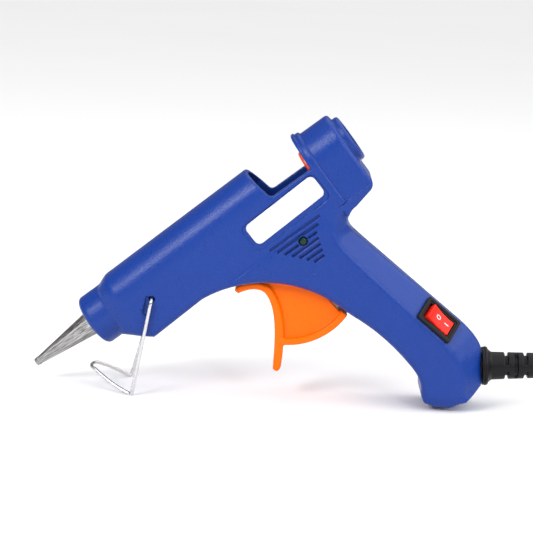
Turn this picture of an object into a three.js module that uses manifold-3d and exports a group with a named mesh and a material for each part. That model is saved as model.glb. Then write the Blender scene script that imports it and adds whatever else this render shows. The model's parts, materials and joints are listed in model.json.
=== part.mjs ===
// A small mains hot glue gun with an orange trigger, a wire stand and a power cord.
//
// Millimetres. The gun is laid out in the barrel's own frame: +X runs back along the
// glue stick's axis from the nozzle tip, +Z is square to it and up, and the gun is
// symmetric about Y = 0. The whole gun then turns by PITCH, so that it stands on the
// heels of its wire stand and on the foot of its handle, with the floor at Z = 0.
import * as THREE from "three";
import { mergeVertices } from "three/addons/utils/BufferGeometryUtils.js";
import Module from "manifold-3d";

const wasm = await Module();
wasm.setup();

// ---------------------------------------------------------------- driving dimensions
const DEG = Math.PI / 180;
const PITCH = 39.3 * DEG; // barrel above the floor, standing
const GAP = 0.3; // left between parts that touch
const WALL = 2; // moulded shell

const HALF_WIDTH = 11.4; // of the body
const EDGE = 3; // rounding of the body's long edges
const NOSE_R = 9.2;
const NOSE_FACE = 24.4; // along the axis
const BARREL_FRONT = 37.5; // where the nose has widened to the barrel
const BARREL_TOP = 11.5; // above the axis, at the barrel's front
const BARREL_RISE = 1.06 * DEG; // the top line's climb towards the back
const BARREL_FLOOR = -15.3;

const WINDOW_FRONT = 97.2; // the open bay where the stick shows
const WINDOW_LEAN = 2.2; // its front edge leans by this much down to the axis
const HEAD_FRONT = 115.9;
const HEAD_STEP = 118.9; // the lip ends and the slightly smaller block begins
const HEAD_BACK = 130;
const HEAD_TOP = 10.7;
const LIP_TOP = 11.6;
const BOSS_R = 8.35;
const BOSS_BACK = 132.3;
const INLET_R = 4.4;
const STICK_R = 3.6; // for a 7 mm glue stick

const PIVOT = { x: 88.6, z: -24.6 }; // trigger axis
const TRIGGER_SWING = 18 * DEG;
const FORK_REACH = 17.6; // from the pivot up to the feeder pin's line
const FLANGE_R = 24.4; // the trigger's curved closing flange
const TRIGGER_HALF = 6.5;

const STAND_HOLE = { x: 47.4, z: -4.1 };
const STAND_HALF = 12.6; // of the wire legs, outside the shells
const WIRE_R = 0.6;

const BEVEL_TOP = { x: 110.68, z: -37.92 }; // two points of the bevel's front edge
const BEVEL_END = { x: 118.08, z: -75.89 };
const BOOT_ROOT = { x: 122.3, z: -89.6 }; // where the lead leaves the handle
const BOOT_DROP = 35.5 * DEG; // the lead's slope in the barrel frame
const BOOT_LENGTH = 28;

const CORD_R = 2.5;
const HANK = { x: 197, length: 110, width: 36, base: 1.6, height: 20.4 };
const TIE = { x: 190, width: 6, thick: 1 };
const PLUG = { length: 34, width: 25, thick: 13.6, pinGap: 19, pinR: 2, pinLength: 18.6 };

const NOSE_SHOULDER = 31.2; // along the axis, where the nose starts to widen
const PIVOT_PIN_R = 1.25;
const FEEDER_PIN_R = 1.1;
const FOOT_SLOPE = 5; // width of the foot's sloped side edges
const LEAD_R = 0.75; // of the insulated wires
const TERMINAL = { y: 3.4, tip: -13, root: -8.5, wire: -14.2 };
const CLAMP = { from: -11.4, to: -7.4, half: 7.4, screwY: 5.2 };
const BOOT = { lip: 5.6, neck: 4.2, flange: 6.5, shank: 3.9, radius: 4.5 };
const BELLY = { x: 56.2, z: -56.4, radius: 42.3 }; // arc over the trigger
const SWITCH_DOWN = 29.9; // from the bevel's top point to the switch, along the edge
const SWITCH_BACK = 3.75; // behind the bevel's front edge
const SCREWS = {
  front: { x: 41, z: -11.2 },
  middle: { x: 68, z: -11.2 },
  head: { x: 125.2, z: -13 },
  neck: { x: 107.6, z: -36 },
  foot: { x: 107.2, z: -86.6 },
};
const POST_R = 3.2;
const SPRING_POST = { x: 108.2, z: -16 };
const LED = { x: 99.8, z: -17.75, radius: 1.45 };
const LABEL = { x: 100.9, z: -5.9, width: 28.4, height: 7.9, turn: 2.4 * DEG };
const CHAMBER = { from: 29.9, to: 58, radius: 5.6 };
const RING = { from: 114.4, to: 119.5, radius: 5.9 };
const SPRING = { from: 94.3, to: 105.8, z: -15.8, radius: 1.9, wire: 0.35, coils: 7 };
const BEZEL = { width: 10.1, length: 14.1 };
const ROCKER_TILT = 8 * DEG; // either way; the end towards the foot is pressed
const PLUG_LEAN = 7 * DEG;
const PLUG_BACK = { x: 199, z: 30.6 };
const PIN_ROOT = 4; // how deep the pins sit in the plug

// ---------------------------------------------------------------- materials
const finish = (color, roughness, metalness = 0) =>
  new THREE.MeshStandardMaterial({ color, roughness, metalness });
const BLUE = () => finish(0x2c4fa8, 0.42);
const ORANGE = () => finish(0xff7a10, 0.4);
const RED = () => finish(0xd8321f, 0.35);
const FLAME = () => finish(0xe8501e, 0.45);
const BLACK = () => finish(0x1c1b1e, 0.55);
const STEEL = () => finish(0x9a9ba0, 0.3, 1);
const CAST = () => finish(0xa9abad, 0.5, 1);
const BRASS = () => finish(0xc9a24a, 0.3, 1);
const WHITE = () => finish(0xf2f2f6, 0.5);
const SILICONE = () => finish(0xd9d4c8, 0.6);
const GREEN = () => finish(0x0f5a28, 0.2);

// ---------------------------------------------------------------- solids
function solid(geometry) {
  const bare = geometry.clone();
  bare.deleteAttribute("normal");
  bare.deleteAttribute("uv");
  const merged = mergeVertices(bare, 1e-4);
  return new wasm.Manifold(
    new wasm.Mesh({
      numProp: 3,
      vertProperties: merged.attributes.position.array,
      triVerts: new Uint32Array(merged.index.array),
    }),
  );
}

function geometryOf(body) {
  const mesh = body.getMesh();
  const geometry = new THREE.BufferGeometry();
  geometry.setAttribute("position", new THREE.BufferAttribute(mesh.vertProperties, 3));
  geometry.setIndex(new THREE.BufferAttribute(mesh.triVerts, 1));
  return geometry;
}

// An outline in the X-Z plane made thick along Y, with its long edges rounded.
function slab(shape, fromY, toY, edge = 0, inset = 0, rounds = 3, curveSegments = 10) {
  const geometry = new THREE.ExtrudeGeometry(shape, {
    depth: toY - fromY - 2 * edge,
    bevelEnabled: edge > 0 || inset > 0,
    bevelThickness: edge,
    bevelSize: edge,
    bevelOffset: -edge - inset,
    bevelSegments: rounds,
    curveSegments,
  });
  geometry.translate(0, 0, edge);
  geometry.rotateX(Math.PI / 2);
  geometry.translate(0, toY, 0);
  return solid(geometry);
}

// An outline across the barrel, in Y-Z, run along X.
function bar(shape, fromX, toX, curveSegments = 12) {
  const geometry = new THREE.ExtrudeGeometry(shape, {
    depth: toX - fromX,
    bevelEnabled: false,
    curveSegments,
  });
  const turn = new THREE.Matrix4().makeBasis(
    new THREE.Vector3(0, 1, 0),
    new THREE.Vector3(0, 0, 1),
    new THREE.Vector3(1, 0, 0),
  );
  geometry.applyMatrix4(turn);
  geometry.translate(fromX, 0, 0);
  return solid(geometry);
}

function box(x0, x1, y0, y1, z0, z1) {
  const geometry = new THREE.BoxGeometry(x1 - x0, y1 - y0, z1 - z0);
  geometry.translate((x0 + x1) / 2, (y0 + y1) / 2, (z0 + z1) / 2);
  return solid(geometry);
}

// A pin or bore across the gun.
function rodY(x, z, radius, y0, y1, sides = 20) {
  const geometry = new THREE.CylinderGeometry(radius, radius, y1 - y0, sides);
  geometry.translate(x, (y0 + y1) / 2, z);
  return solid(geometry);
}

// A turned piece on the stick's axis: pairs of [position along X, radius].
function turned(profile, sides = 20) {
  const points = profile.map(([along, radius]) => new THREE.Vector2(radius, along));
  points.push(points[0].clone());
  const geometry = new THREE.LatheGeometry(points, sides);
  geometry.rotateZ(-Math.PI / 2);
  const made = solid(geometry);
  return made.volume() < 0 ? solid(flipped(geometry)) : made;
}

function flipped(geometry) {
  const turnedOver = geometry.clone();
  const index = turnedOver.index.array;
  for (let i = 0; i < index.length; i += 3) {
    [index[i + 1], index[i + 2]] = [index[i + 2], index[i + 1]];
  }
  return turnedOver;
}

function outline(...points) {
  return new THREE.Shape(points.map(([x, z]) => new THREE.Vector2(x, z)));
}

function roundedRect(width, height, radius) {
  const w = width / 2;
  const h = height / 2;
  const shape = new THREE.Shape();
  shape.moveTo(-w + radius, -h);
  shape.lineTo(w - radius, -h);
  shape.absarc(w - radius, -h + radius, radius, -Math.PI / 2, 0);
  shape.lineTo(w, h - radius);
  shape.absarc(w - radius, h - radius, radius, 0, Math.PI / 2);
  shape.lineTo(-w + radius, h);
  shape.absarc(-w + radius, h - radius, radius, Math.PI / 2, Math.PI);
  shape.lineTo(-w, -h + radius);
  shape.absarc(-w + radius, -h + radius, radius, Math.PI, 1.5 * Math.PI);
  return shape;
}

// A round rod bent along a path: straight runs with curved corners.
function bentPath(points, corner) {
  const path = new THREE.CurvePath();
  const places = points.map((p) => new THREE.Vector3(...p));
  let from = places[0];
  for (let i = 1; i < places.length - 1; i += 1) {
    const before = places[i].clone().sub(places[i - 1]);
    const after = places[i + 1].clone().sub(places[i]);
    const cut = Math.min(corner, before.length() * 0.45, after.length() * 0.45);
    const enter = places[i].clone().addScaledVector(before.normalize(), -cut);
    const leave = places[i].clone().addScaledVector(after.normalize(), cut);
    path.add(new THREE.LineCurve3(from, enter));
    path.add(new THREE.QuadraticBezierCurve3(enter, places[i], leave));
    from = leave;
  }
  path.add(new THREE.LineCurve3(from, places.at(-1)));
  return path;
}

function tube(path, radius, sides, steps) {
  const section = new THREE.Shape();
  for (let i = 0; i < sides; i += 1) {
    const turn = (i / sides) * 2 * Math.PI;
    const x = radius * Math.cos(turn);
    const y = radius * Math.sin(turn);
    if (i === 0) section.moveTo(x, y);
    else section.lineTo(x, y);
  }
  const geometry = new THREE.ExtrudeGeometry(section, { extrudePath: path, steps });
  return solid(geometry);
}

// ---------------------------------------------------------------- the scene graph
const part = new THREE.Group();
const gun = new THREE.Group();
part.add(gun);

function add(parent, name, body, material) {
  const mesh = new THREE.Mesh(geometryOf(body), material);
  mesh.name = name;
  parent.add(mesh);
  return mesh;
}

// ---------------------------------------------------------------- wire stand
// The far leg stands a little further forward than the near one.
function buildStand() {
  const near = { x: 22.4, z: -26.3 };
  const far = { x: 20.5, z: -24.74 };
  const front = { x: 15.2, z: -12.2, half: 4.6 };
  const reach = HALF_WIDTH - WALL - 0.9; // the ends hook in through the shells
  const { x, z } = STAND_HOLE;
  const path = bentPath(
    [
      [x, -reach, z],
      [x, -STAND_HALF, z],
      [near.x, -STAND_HALF, near.z],
      [front.x + 0.6, -front.half, front.z],
      [front.x - 0.6, -front.half + 1.6, front.z + 1.2],
      [front.x - 0.6, front.half - 1.6, front.z + 1.2],
      [front.x, front.half, front.z],
      [far.x, STAND_HALF, far.z],
      [x, STAND_HALF, z],
      [x, reach, z],
    ],
    1.6,
  );
  return tube(path, WIRE_R, 6, 74);
}

const standWire = buildStand();

// The floor's height in the barrel frame, under the wire's heels.
function floorHeight(body) {
  const places = body.getMesh().vertProperties;
  let low = Infinity;
  for (let i = 0; i < places.length; i += 3) {
    const height = places[i] * Math.sin(PITCH) + places[i + 2] * Math.cos(PITCH);
    low = Math.min(low, height);
  }
  return low;
}
const FLOOR = floorHeight(standWire);

// ---------------------------------------------------------------- shells

// The side outline: barrel, head, neck, handle and the long arc under the barrel. Its
// outward corners stay far enough apart for the outline to be drawn in by a wall and an edge.
function bodyOutline() {
  const topBack = BARREL_TOP + (HEAD_BACK - BARREL_FRONT) * Math.tan(BARREL_RISE);
  const shape = new THREE.Shape();
  shape.moveTo(NOSE_SHOULDER, NOSE_R);
  shape.lineTo(BARREL_FRONT, BARREL_TOP);
  shape.lineTo(HEAD_BACK, topBack);
  shape.lineTo(HEAD_BACK, -17);
  shape.lineTo(120.8, -18.8);
  shape.absarc(120.6, -24.8, 6, 95 * DEG, 195 * DEG, false);
  shape.lineTo(125.05, -69.6);
  shape.quadraticCurveTo(127.8, -79.5, 126.2, -84.4);
  shape.lineTo(119, -94.4);
  shape.lineTo(105, -95.6);
  shape.lineTo(100.3, -91.2);
  shape.lineTo(98.8, -86.8);
  shape.lineTo(101.4, -83.2);
  shape.quadraticCurveTo(103.9, -80.4, 103.9, -75.5);
  shape.quadraticCurveTo(103.4, -61, 98.2, -48.8);
  const end = Math.atan2(-46 - BELLY.z, 97.2 - BELLY.x);
  shape.absarc(BELLY.x, BELLY.z, BELLY.radius, end, 84 * DEG, false);
  shape.lineTo(40, BARREL_FLOOR);
  shape.lineTo(NOSE_SHOULDER, -8.4);
  return shape;
}

// What the body may fill at each station: a round top and a nose that narrows.
function archBar(half, centre, fromX, toX) {
  const shape = new THREE.Shape();
  shape.moveTo(-half, -120);
  shape.lineTo(half, -120);
  shape.lineTo(half, centre);
  shape.absarc(0, centre, half, 0, Math.PI, false);
  shape.lineTo(-half, -120);
  return bar(shape, fromX, toX, 14);
}

function tiltedArch(inset) {
  const half = HALF_WIDTH - inset;
  const arch = archBar(half, 0, 0, HEAD_FRONT + 2);
  const turn = THREE.MathUtils.radToDeg(-BARREL_RISE);
  return arch
    .translate([-BARREL_FRONT, 0, 0])
    .rotate([0, turn, 0])
    .translate([BARREL_FRONT, 0, BARREL_TOP - HALF_WIDTH]);
}

function planBar(inset) {
  const nose = NOSE_R - inset;
  const body = HALF_WIDTH - inset;
  const shape = outline([20, -nose], [NOSE_SHOULDER, -nose], [BARREL_FRONT, -body], [140, -body]);
  shape.lineTo(140, body);
  shape.lineTo(BARREL_FRONT, body);
  shape.lineTo(NOSE_SHOULDER, nose);
  shape.lineTo(20, nose);
  const geometry = new THREE.ExtrudeGeometry(shape, { depth: 160, bevelEnabled: false });
  geometry.translate(0, 0, -130);
  return solid(geometry);
}

// The sloped face at the back of each side of the handle.
const ALONG = new THREE.Vector3(BEVEL_END.x - BEVEL_TOP.x, 0, BEVEL_END.z - BEVEL_TOP.z);
ALONG.normalize();
const BACKWARD = new THREE.Vector3(-ALONG.z, 0, ALONG.x);
const slopeNormal = (side) =>
  BACKWARD.clone().multiplyScalar(Math.SQRT1_2).add(new THREE.Vector3(0, side * Math.SQRT1_2, 0));

function bevelCut(side, inset) {
  const normal = slopeNormal(side);
  const across = new THREE.Vector3().crossVectors(ALONG, normal);
  const geometry = new THREE.BoxGeometry(60, 62, 20);
  geometry.translate(0, 0, 10 - inset);
  const basis = new THREE.Matrix4().makeBasis(across, ALONG, normal);
  const middle = new THREE.Vector3(BEVEL_TOP.x, side * HALF_WIDTH, BEVEL_TOP.z);
  middle.addScaledVector(ALONG, 21);
  basis.setPosition(middle);
  geometry.applyMatrix4(basis);
  return solid(geometry);
}

function boxBelowFloor(inset) {
  const geometry = new THREE.BoxGeometry(200, 60, 40);
  geometry.translate(100, 0, FLOOR + inset - 20);
  geometry.rotateY(PITCH);
  return solid(geometry);
}

// The slope between one side of the handle's foot and the floor.
function footCorner(side, inset) {
  const geometry = new THREE.BoxGeometry(200, 40, 40);
  geometry.translate(0, 0, -20);
  geometry.rotateX(side * 45 * DEG);
  const out = HALF_WIDTH - inset - FOOT_SLOPE / 2;
  geometry.translate(100, side * out, FLOOR + inset + FOOT_SLOPE / 2);
  geometry.rotateY(PITCH);
  return solid(geometry);
}

function bodySolid(inset) {
  const edge = inset > 0 ? EDGE / 2 : EDGE;
  const rounds = inset > 0 ? 1 : 2;
  const half = HALF_WIDTH - inset;
  let body = slab(bodyOutline(), -half, half, edge, inset, rounds, 6);
  const head = archBar(HALF_WIDTH - inset, LIP_TOP - HALF_WIDTH, HEAD_FRONT, HEAD_STEP);
  const block = archBar(HEAD_TOP - inset, 0, HEAD_STEP - inset, HEAD_BACK + 1);
  const below = box(HEAD_FRONT, 140, -20, 20, -120, -20);
  const fits = tiltedArch(inset).add(head).add(block).add(below);
  body = body.intersect(fits).intersect(planBar(inset));
  for (const side of [-1, 1]) {
    body = body.subtract(bevelCut(side, inset)).subtract(footCorner(side, inset));
  }
  return body.subtract(boxBelowFloor(inset));
}

function noseSolid(inset) {
  const r = NOSE_R - inset;
  const face = NOSE_FACE + inset;
  return turned([
    [face, 0],
    [face, r - 2],
    [face + 0.6, r - 0.6],
    [face + 2, r],
    [31.6, r],
    [BARREL_FRONT, r + 2.2],
    [BARREL_FRONT, 0],
  ], 24);
}

// A frame on a sloped face of the near side, with Z square out of it.
function slopeFrame(away, turn) {
  const normal = slopeNormal(-1);
  const up = ALONG.clone().negate().applyAxisAngle(normal, turn);
  const across = new THREE.Vector3().crossVectors(up, normal);
  const frame = new THREE.Matrix4().makeBasis(across, up, normal);
  return frame.setPosition(away);
}
const switchPlace = new THREE.Vector3(BEVEL_TOP.x, -HALF_WIDTH + SWITCH_BACK, BEVEL_TOP.z);
switchPlace.addScaledVector(ALONG, SWITCH_DOWN).addScaledVector(BACKWARD, SWITCH_BACK);
const SWITCH_FRAME = slopeFrame(switchPlace, 2 * DEG);

function boxIn(frame, width, length, z0, z1) {
  const geometry = new THREE.BoxGeometry(width, length, z1 - z0);
  geometry.translate(0, 0, (z0 + z1) / 2);
  geometry.applyMatrix4(frame);
  return solid(geometry);
}

// The frame of the lead's exit: X runs out along the lead.
const BOOT_FRAME = new THREE.Matrix4().makeRotationY(BOOT_DROP);
BOOT_FRAME.setPosition(BOOT_ROOT.x, 0, BOOT_ROOT.z);

function turnedIn(frame, profile, sides) {
  return solid(geometryOf(turned(profile, sides)).applyMatrix4(frame));
}

function windowCut() {
  const shape = new THREE.Shape();
  shape.moveTo(WINDOW_FRONT, 20);
  shape.lineTo(WINDOW_FRONT, BARREL_TOP);
  shape.lineTo(WINDOW_FRONT + WINDOW_LEAN, 1.6);
  shape.quadraticCurveTo(WINDOW_FRONT + WINDOW_LEAN, 0.1, WINDOW_FRONT + WINDOW_LEAN + 1.6, 0.1);
  shape.lineTo(HEAD_FRONT, 0.1);
  shape.lineTo(HEAD_FRONT, 20);
  return slab(shape, -20, 20);
}

// The slot under the barrel that the trigger works in.
function triggerSlot() {
  const shape = new THREE.Shape();
  shape.moveTo(68, -26);
  shape.lineTo(71, -12);
  shape.lineTo(92, -20);
  shape.lineTo(104, -44);
  shape.lineTo(102.6, -51.5);
  shape.lineTo(90, -56);
  const half = TRIGGER_HALF + 0.6;
  return slab(shape, -half, half);
}

// Seven ventilation slots, shorter row by row, with the lamp in the third.
function grille() {
  const first = { from: 89.4, to: 108.8, z: -14 };
  let cuts = null;
  for (let row = 0; row < 7; row += 1) {
    const x0 = first.from + 1.62 * row;
    const x1 = first.to - (row < 3 ? 2 * row : 4 + 0.62 * (row - 2));
    const z = first.z - 1.92 * row;
    const slot = box(x0, x1, -HALF_WIDTH - 1, -HALF_WIDTH + WALL + 1, z - 0.35, z + 0.35);
    cuts = cuts ? cuts.add(slot) : slot;
  }
  return cuts;
}

function labelPlate(grow, y0, y1, dx = 0, dz = 0) {
  const shape = roundedRect(LABEL.width + grow, LABEL.height + grow, 2 + grow / 4);
  const geometry = new THREE.ExtrudeGeometry(shape, {
    depth: y1 - y0,
    bevelEnabled: false,
    curveSegments: 6,
  });
  geometry.rotateX(Math.PI / 2);
  geometry.translate(0, y1, 0);
  geometry.rotateY(-LABEL.turn);
  geometry.translate(LABEL.x + dx, 0, LABEL.z + dz);
  return solid(geometry);
}

// Each shell's inside: screw posts, ribs that cradle the heater and the feeder's ledge.
function insideParts(side) {
  const inner = HALF_WIDTH - WALL + 0.6;
  const span = side < 0 ? [-inner, -GAP / 2] : [GAP / 2, inner];
  let parts = null;
  const join = (body) => {
    parts = parts ? parts.add(body) : body;
  };
  for (const { x, z } of Object.values(SCREWS)) {
    join(rodY(x, z, POST_R, ...span, 12));
  }
  for (const x of [36.5, 63.5]) {
    join(box(x, x + 1.5, ...span, -13.6, 10));
  }
  const ledge = side < 0 ? [-inner, -4.2] : [4.2, inner];
  join(box(97, 112, ...ledge, -9.8, -8.5));
  const seat = side < 0 ? [-inner, -TRIGGER_HALF - 0.9] : [TRIGGER_HALF + 0.9, inner];
  join(rodY(PIVOT.x, PIVOT.z, 3, ...seat, 12));
  join(rodY(SPRING_POST.x, SPRING_POST.z, 1.6, ...span, 12));
  return parts;
}

// A low rib beside the stand's hole, which the wire springs over as it opens.
function rampRib(side) {
  const rib = box(42.4, 43.4, -0.4, 0.4, -9.6, -3.2);
  return rib.translate([0, side * HALF_WIDTH, 0]);
}

function buildShell(side) {
  const outer = bodySolid(0).add(noseSolid(0)).add(
    turned([
      [HEAD_BACK - 3, 0],
      [HEAD_BACK - 3, BOSS_R],
      [BOSS_BACK - 0.7, BOSS_R],
      [BOSS_BACK, BOSS_R - 0.7],
      [BOSS_BACK, 0],
    ], 24),
  );
  const hollow = bodySolid(WALL).add(noseSolid(WALL));
  let shell = outer.subtract(hollow);
  shell = shell.add(insideParts(side).intersect(bodySolid(WALL / 2)));
  shell = shell.add(rampRib(side));
  const [y0, y1] = side < 0 ? [-30, -GAP / 2] : [GAP / 2, 30];
  const half = box(-10, 160, y0, y1, -150, 40);

  shell = shell
    .subtract(windowCut())
    .subtract(triggerSlot())
    .subtract(turned([[10, 0], [10, 4.75], [28, 4.75], [28, 0]], 24))
    .subtract(turned([[27.5, 0], [27.5, 6.4], [33.4, 6.4], [33.4, 0]], 24))
    .subtract(turned([[33, 0], [33, 6.2], [66, 6.2], [66, 0]], 24))
    .subtract(box(36, 66, -5.4, 5.4, -10.4, 0))
    .subtract(box(62, 67, -9.6, 9.6, -8.4, -3))
    .subtract(turned([[115, 0], [115, INLET_R], [140, INLET_R], [140, 0]], 24))
    .subtract(turned([[115, 0], [115, 6], [129.2, 6], [129.2, 0]], 24))
    .subtract(rodY(STAND_HOLE.x, STAND_HOLE.z, 1, -20, 20, 14))
    .subtract(rodY(PIVOT.x, PIVOT.z, PIVOT_PIN_R + GAP, -9.8, 9.8, 16))
    .subtract(turnedIn(BOOT_FRAME, [[-12, 0], [-12, 4.6], [6, 4.6], [6, 0]], 24))
    .subtract(turnedIn(BOOT_FRAME, [[-0.05, 0], [-0.05, 9], [12, 9], [12, 0]], 24));

  for (const { x, z } of Object.values(SCREWS)) {
    shell = shell.subtract(rodY(x, z, side < 0 ? 1.3 : 1.5, -8.4, 20, 10));
    shell = shell.subtract(rodY(x, z, 2.7, 8.8, 20, 14));
  }
  if (side < 0) {
    shell = shell
      .subtract(grille())
      .subtract(rodY(LED.x, LED.z, LED.radius + GAP, -20, -5, 18))
      .subtract(labelPlate(2.2, -20, -HALF_WIDTH + 0.65, -0.35, -0.75))
      .subtract(boxIn(SWITCH_FRAME, 8.9, 13.4, -20, 20));
  }
  return shell.intersect(half);
}

// The largest body of a solid, so that nothing cut loose stays behind.
function largest(body) {
  const pieces = body.decompose();
  return pieces.reduce((best, piece) => (piece.volume() > best.volume() ? piece : best));
}

add(gun, "shell_left", largest(buildShell(-1)), BLUE());
add(gun, "shell_right", largest(buildShell(1)), BLUE());
add(gun, "stand_wire", standWire, STEEL());

// ---------------------------------------------------------------- nozzle and heater
add(gun, "nozzle", turned([
  [0, 0.75],
  [0, 1.25],
  [23.6, 4.25],
  [29.4, 4.4],
  [29.4, 3],
  [36, 3],
  [36, 2],
  [26, 2],
], 24), STEEL());

add(gun, "nose_insulator", turned([
  [27.8, 4.75],
  [27.8, 6.1],
  [29.6, 6.1],
  [29.6, 4.75],
]), BLACK());

function meltChamber() {
  const tubePart = turned([
    [CHAMBER.from, 3.35],
    [CHAMBER.from, CHAMBER.radius],
    [CHAMBER.to, CHAMBER.radius],
    [CHAMBER.to, 4.9],
    [64.6, 4.9],
    [64.6, STICK_R],
    [36.4, STICK_R],
    [36.4, 3.35],
  ]);
  const pad = box(41, 57, -4.2, 4.2, -6.1, -4.4);
  const bore = turned([[20, 0], [20, STICK_R], [70, STICK_R], [70, 0]]);
  return tubePart.add(pad.subtract(bore));
}
add(gun, "melt_chamber", meltChamber(), CAST());
add(gun, "heater_block", box(42.5, 55.5, -3.6, 3.6, -8.6, -6.4), WHITE());

// A steel strap round the chamber that presses the heater block on to its pad.
function strapBar(radius, foot, bottom, fromX, toX) {
  const shape = new THREE.Shape();
  shape.absarc(0, 0, radius, 0, Math.PI, false);
  shape.lineTo(-foot, bottom);
  shape.lineTo(foot, bottom);
  return bar(shape, fromX, toX, 10);
}

function heaterStrap() {
  return strapBar(6.3, 5, -9.5, 46.5, 51.5)
    .subtract(strapBar(5.9, 4.6, -8.9, 46, 52))
    .subtract(box(40, 60, -1, 1, 5, 8));
}
add(gun, "heater_strap", heaterStrap(), STEEL());

add(gun, "stick_sleeve", turned([
  [58.3, 5.2],
  [58.3, 6.1],
  [65.2, 6.1],
  [67, 5],
  [79.4, 5],
  [79.4, STICK_R + 0.1],
  [64.9, STICK_R + 0.1],
  [64.9, 5.2],
]), SILICONE());
add(gun, "sleeve_clip", turned([
  [60.6, 6.4],
  [60.6, 7.1],
  [62.2, 7.1],
  [62.2, 6.4],
], 24), STEEL());

// ---------------------------------------------------------------- stick feeder
add(gun, "feeder_ring", turned([
  [RING.from, 3.9],
  [RING.from, RING.radius - 0.8],
  [RING.from + 0.8, RING.radius],
  [RING.to, RING.radius],
  [RING.to, 3.9],
], 24), FLAME());

const PIN_Z = PIVOT.z + FORK_REACH;
const PIN_X = PIVOT.x + FORK_REACH * Math.tan(TRIGGER_SWING / 2);
const RAIL_BACK = RING.to - 0.2;
function feederSled() {
  const holder = turned([
    [116.7, RING.radius + GAP],
    [116.7, 8.1],
    [RAIL_BACK, 8.1],
    [RAIL_BACK, RING.radius + GAP],
  ], 24);
  const bore = turned([[100, 0], [100, RING.radius + GAP], [125, RING.radius + GAP], [125, 0]], 24);
  let sled = holder.add(box(116.7, RAIL_BACK, -5.6, 5.6, -8.1, -5).subtract(bore));
  for (const side of [-1, 1]) {
    const inner = side * 3.6;
    const outer = side * 5.6;
    const [y0, y1] = [Math.min(inner, outer), Math.max(inner, outer)];
    sled = sled.add(box(PIN_X - 2.6, 118, y0, y1, -8.1, -6.2));
    sled = sled.add(box(PIN_X - 2.6, PIN_X + 2.6, y0, y1, -9, -5.3));
  }
  return sled.subtract(rodY(PIN_X, PIN_Z, FEEDER_PIN_R + GAP, -10, 10, 16));
}
add(gun, "feeder_sled", feederSled(), BLACK());
add(gun, "feeder_pin", rodY(PIN_X, PIN_Z, FEEDER_PIN_R, -5.8, 5.8, 16), STEEL());

add(gun, "inlet_guide", turned([
  [120.4, INLET_R - 0.2],
  [120.4, 5.6],
  [128.8, 5.6],
  [128.8, INLET_R - 0.2],
]), BLACK());

// ---------------------------------------------------------------- trigger
function triggerPlate() {
  const shape = new THREE.Shape();
  shape.moveTo(71.2, -20.2);
  shape.bezierCurveTo(75.2, -21, 78.6, -23, 78.5, -26.2);
  shape.bezierCurveTo(78.4, -32, 72.6, -39.4, 65.2, -48);
  shape.quadraticCurveTo(65.4, -50.6, 67.9, -49);
  shape.bezierCurveTo(73.6, -43.2, 80.9, -35, 81.1, -26);
  shape.bezierCurveTo(81.2, -22.4, 77.6, -19.4, 72.2, -17.9);
  shape.quadraticCurveTo(70, -18.4, 71.2, -20.2);
  return slab(shape, -TRIGGER_HALF, TRIGGER_HALF, 0.5, 0, 1, 7);
}

const turnAt = (degrees, radius) => [
  PIVOT.x + radius * Math.cos(degrees * DEG),
  PIVOT.z + radius * Math.sin(degrees * DEG),
];

function triggerFlange() {
  const from = -131 * DEG;
  const to = -71 * DEG;
  const shape = new THREE.Shape();
  shape.absarc(PIVOT.x, PIVOT.z, FLANGE_R, from, to, false);
  shape.absarc(PIVOT.x, PIVOT.z, FLANGE_R - 2.3, to, from, true);
  return slab(shape, -TRIGGER_HALF, TRIGGER_HALF, 0, 0, 1, 10);
}

function triggerWeb() {
  const shape = new THREE.Shape();
  shape.moveTo(...turnAt(-129, FLANGE_R - 1));
  shape.absarc(PIVOT.x, PIVOT.z, FLANGE_R - 1, -129 * DEG, -73.5 * DEG, false);
  shape.lineTo(94.4, -38);
  shape.lineTo(PIVOT.x + 3.4, PIVOT.z - 2);
  shape.lineTo(PIVOT.x, PIVOT.z + 3.4);
  shape.quadraticCurveTo(82, -18.6, 76.6, -19.6);
  shape.lineTo(80, -24);
  shape.bezierCurveTo(79.4, -33, 75, -39, 71.2, -43.4);
  return slab(shape, -4.6, 4.6, 0, 0, 1, 7);
}

function forkArm() {
  const lean = TRIGGER_SWING / 2;
  const shape = outline([-3.4, 0], [3.4, 0], [3.1, 20], [-3.1, 20]);
  const slot = box(-FEEDER_PIN_R - GAP, FEEDER_PIN_R + GAP, -5, 5, 14.6, 30);
  return slab(shape, -3, 3)
    .subtract(slot)
    .rotate([0, THREE.MathUtils.radToDeg(lean), 0])
    .translate([PIVOT.x, 0, PIVOT.z]);
}

function buildTrigger() {
  return triggerPlate()
    .add(triggerFlange())
    .add(triggerWeb())
    .add(forkArm())
    .add(rodY(PIVOT.x, PIVOT.z, 3.4, -6.2, 6.2, 24))
    .subtract(rodY(PIVOT.x, PIVOT.z, PIVOT_PIN_R + GAP, -20, 20, 16));
}
add(gun, "trigger", buildTrigger(), ORANGE());
add(gun, "trigger_pin", rodY(PIVOT.x, PIVOT.z, PIVOT_PIN_R, -9.4, 9.4, 16), STEEL());

// A tension spring from the fork arm back to a post, which swings the trigger out again.
function triggerSpring() {
  const points = [];
  const steps = SPRING.coils * 7;
  for (let i = 0; i <= steps; i += 1) {
    const turn = (i / steps) * SPRING.coils * 2 * Math.PI;
    points.push(new THREE.Vector3(
      SPRING.from + (i / steps) * (SPRING.to - SPRING.from),
      SPRING.radius * Math.sin(turn),
      SPRING.z + SPRING.radius * Math.cos(turn),
    ));
  }
  return tube(new THREE.CatmullRomCurve3(points), SPRING.wire, 5, steps);
}
add(gun, "trigger_spring", triggerSpring(), STEEL());

// ---------------------------------------------------------------- switch
function placed(body) {
  return solid(geometryOf(body).applyMatrix4(SWITCH_FRAME));
}

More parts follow.
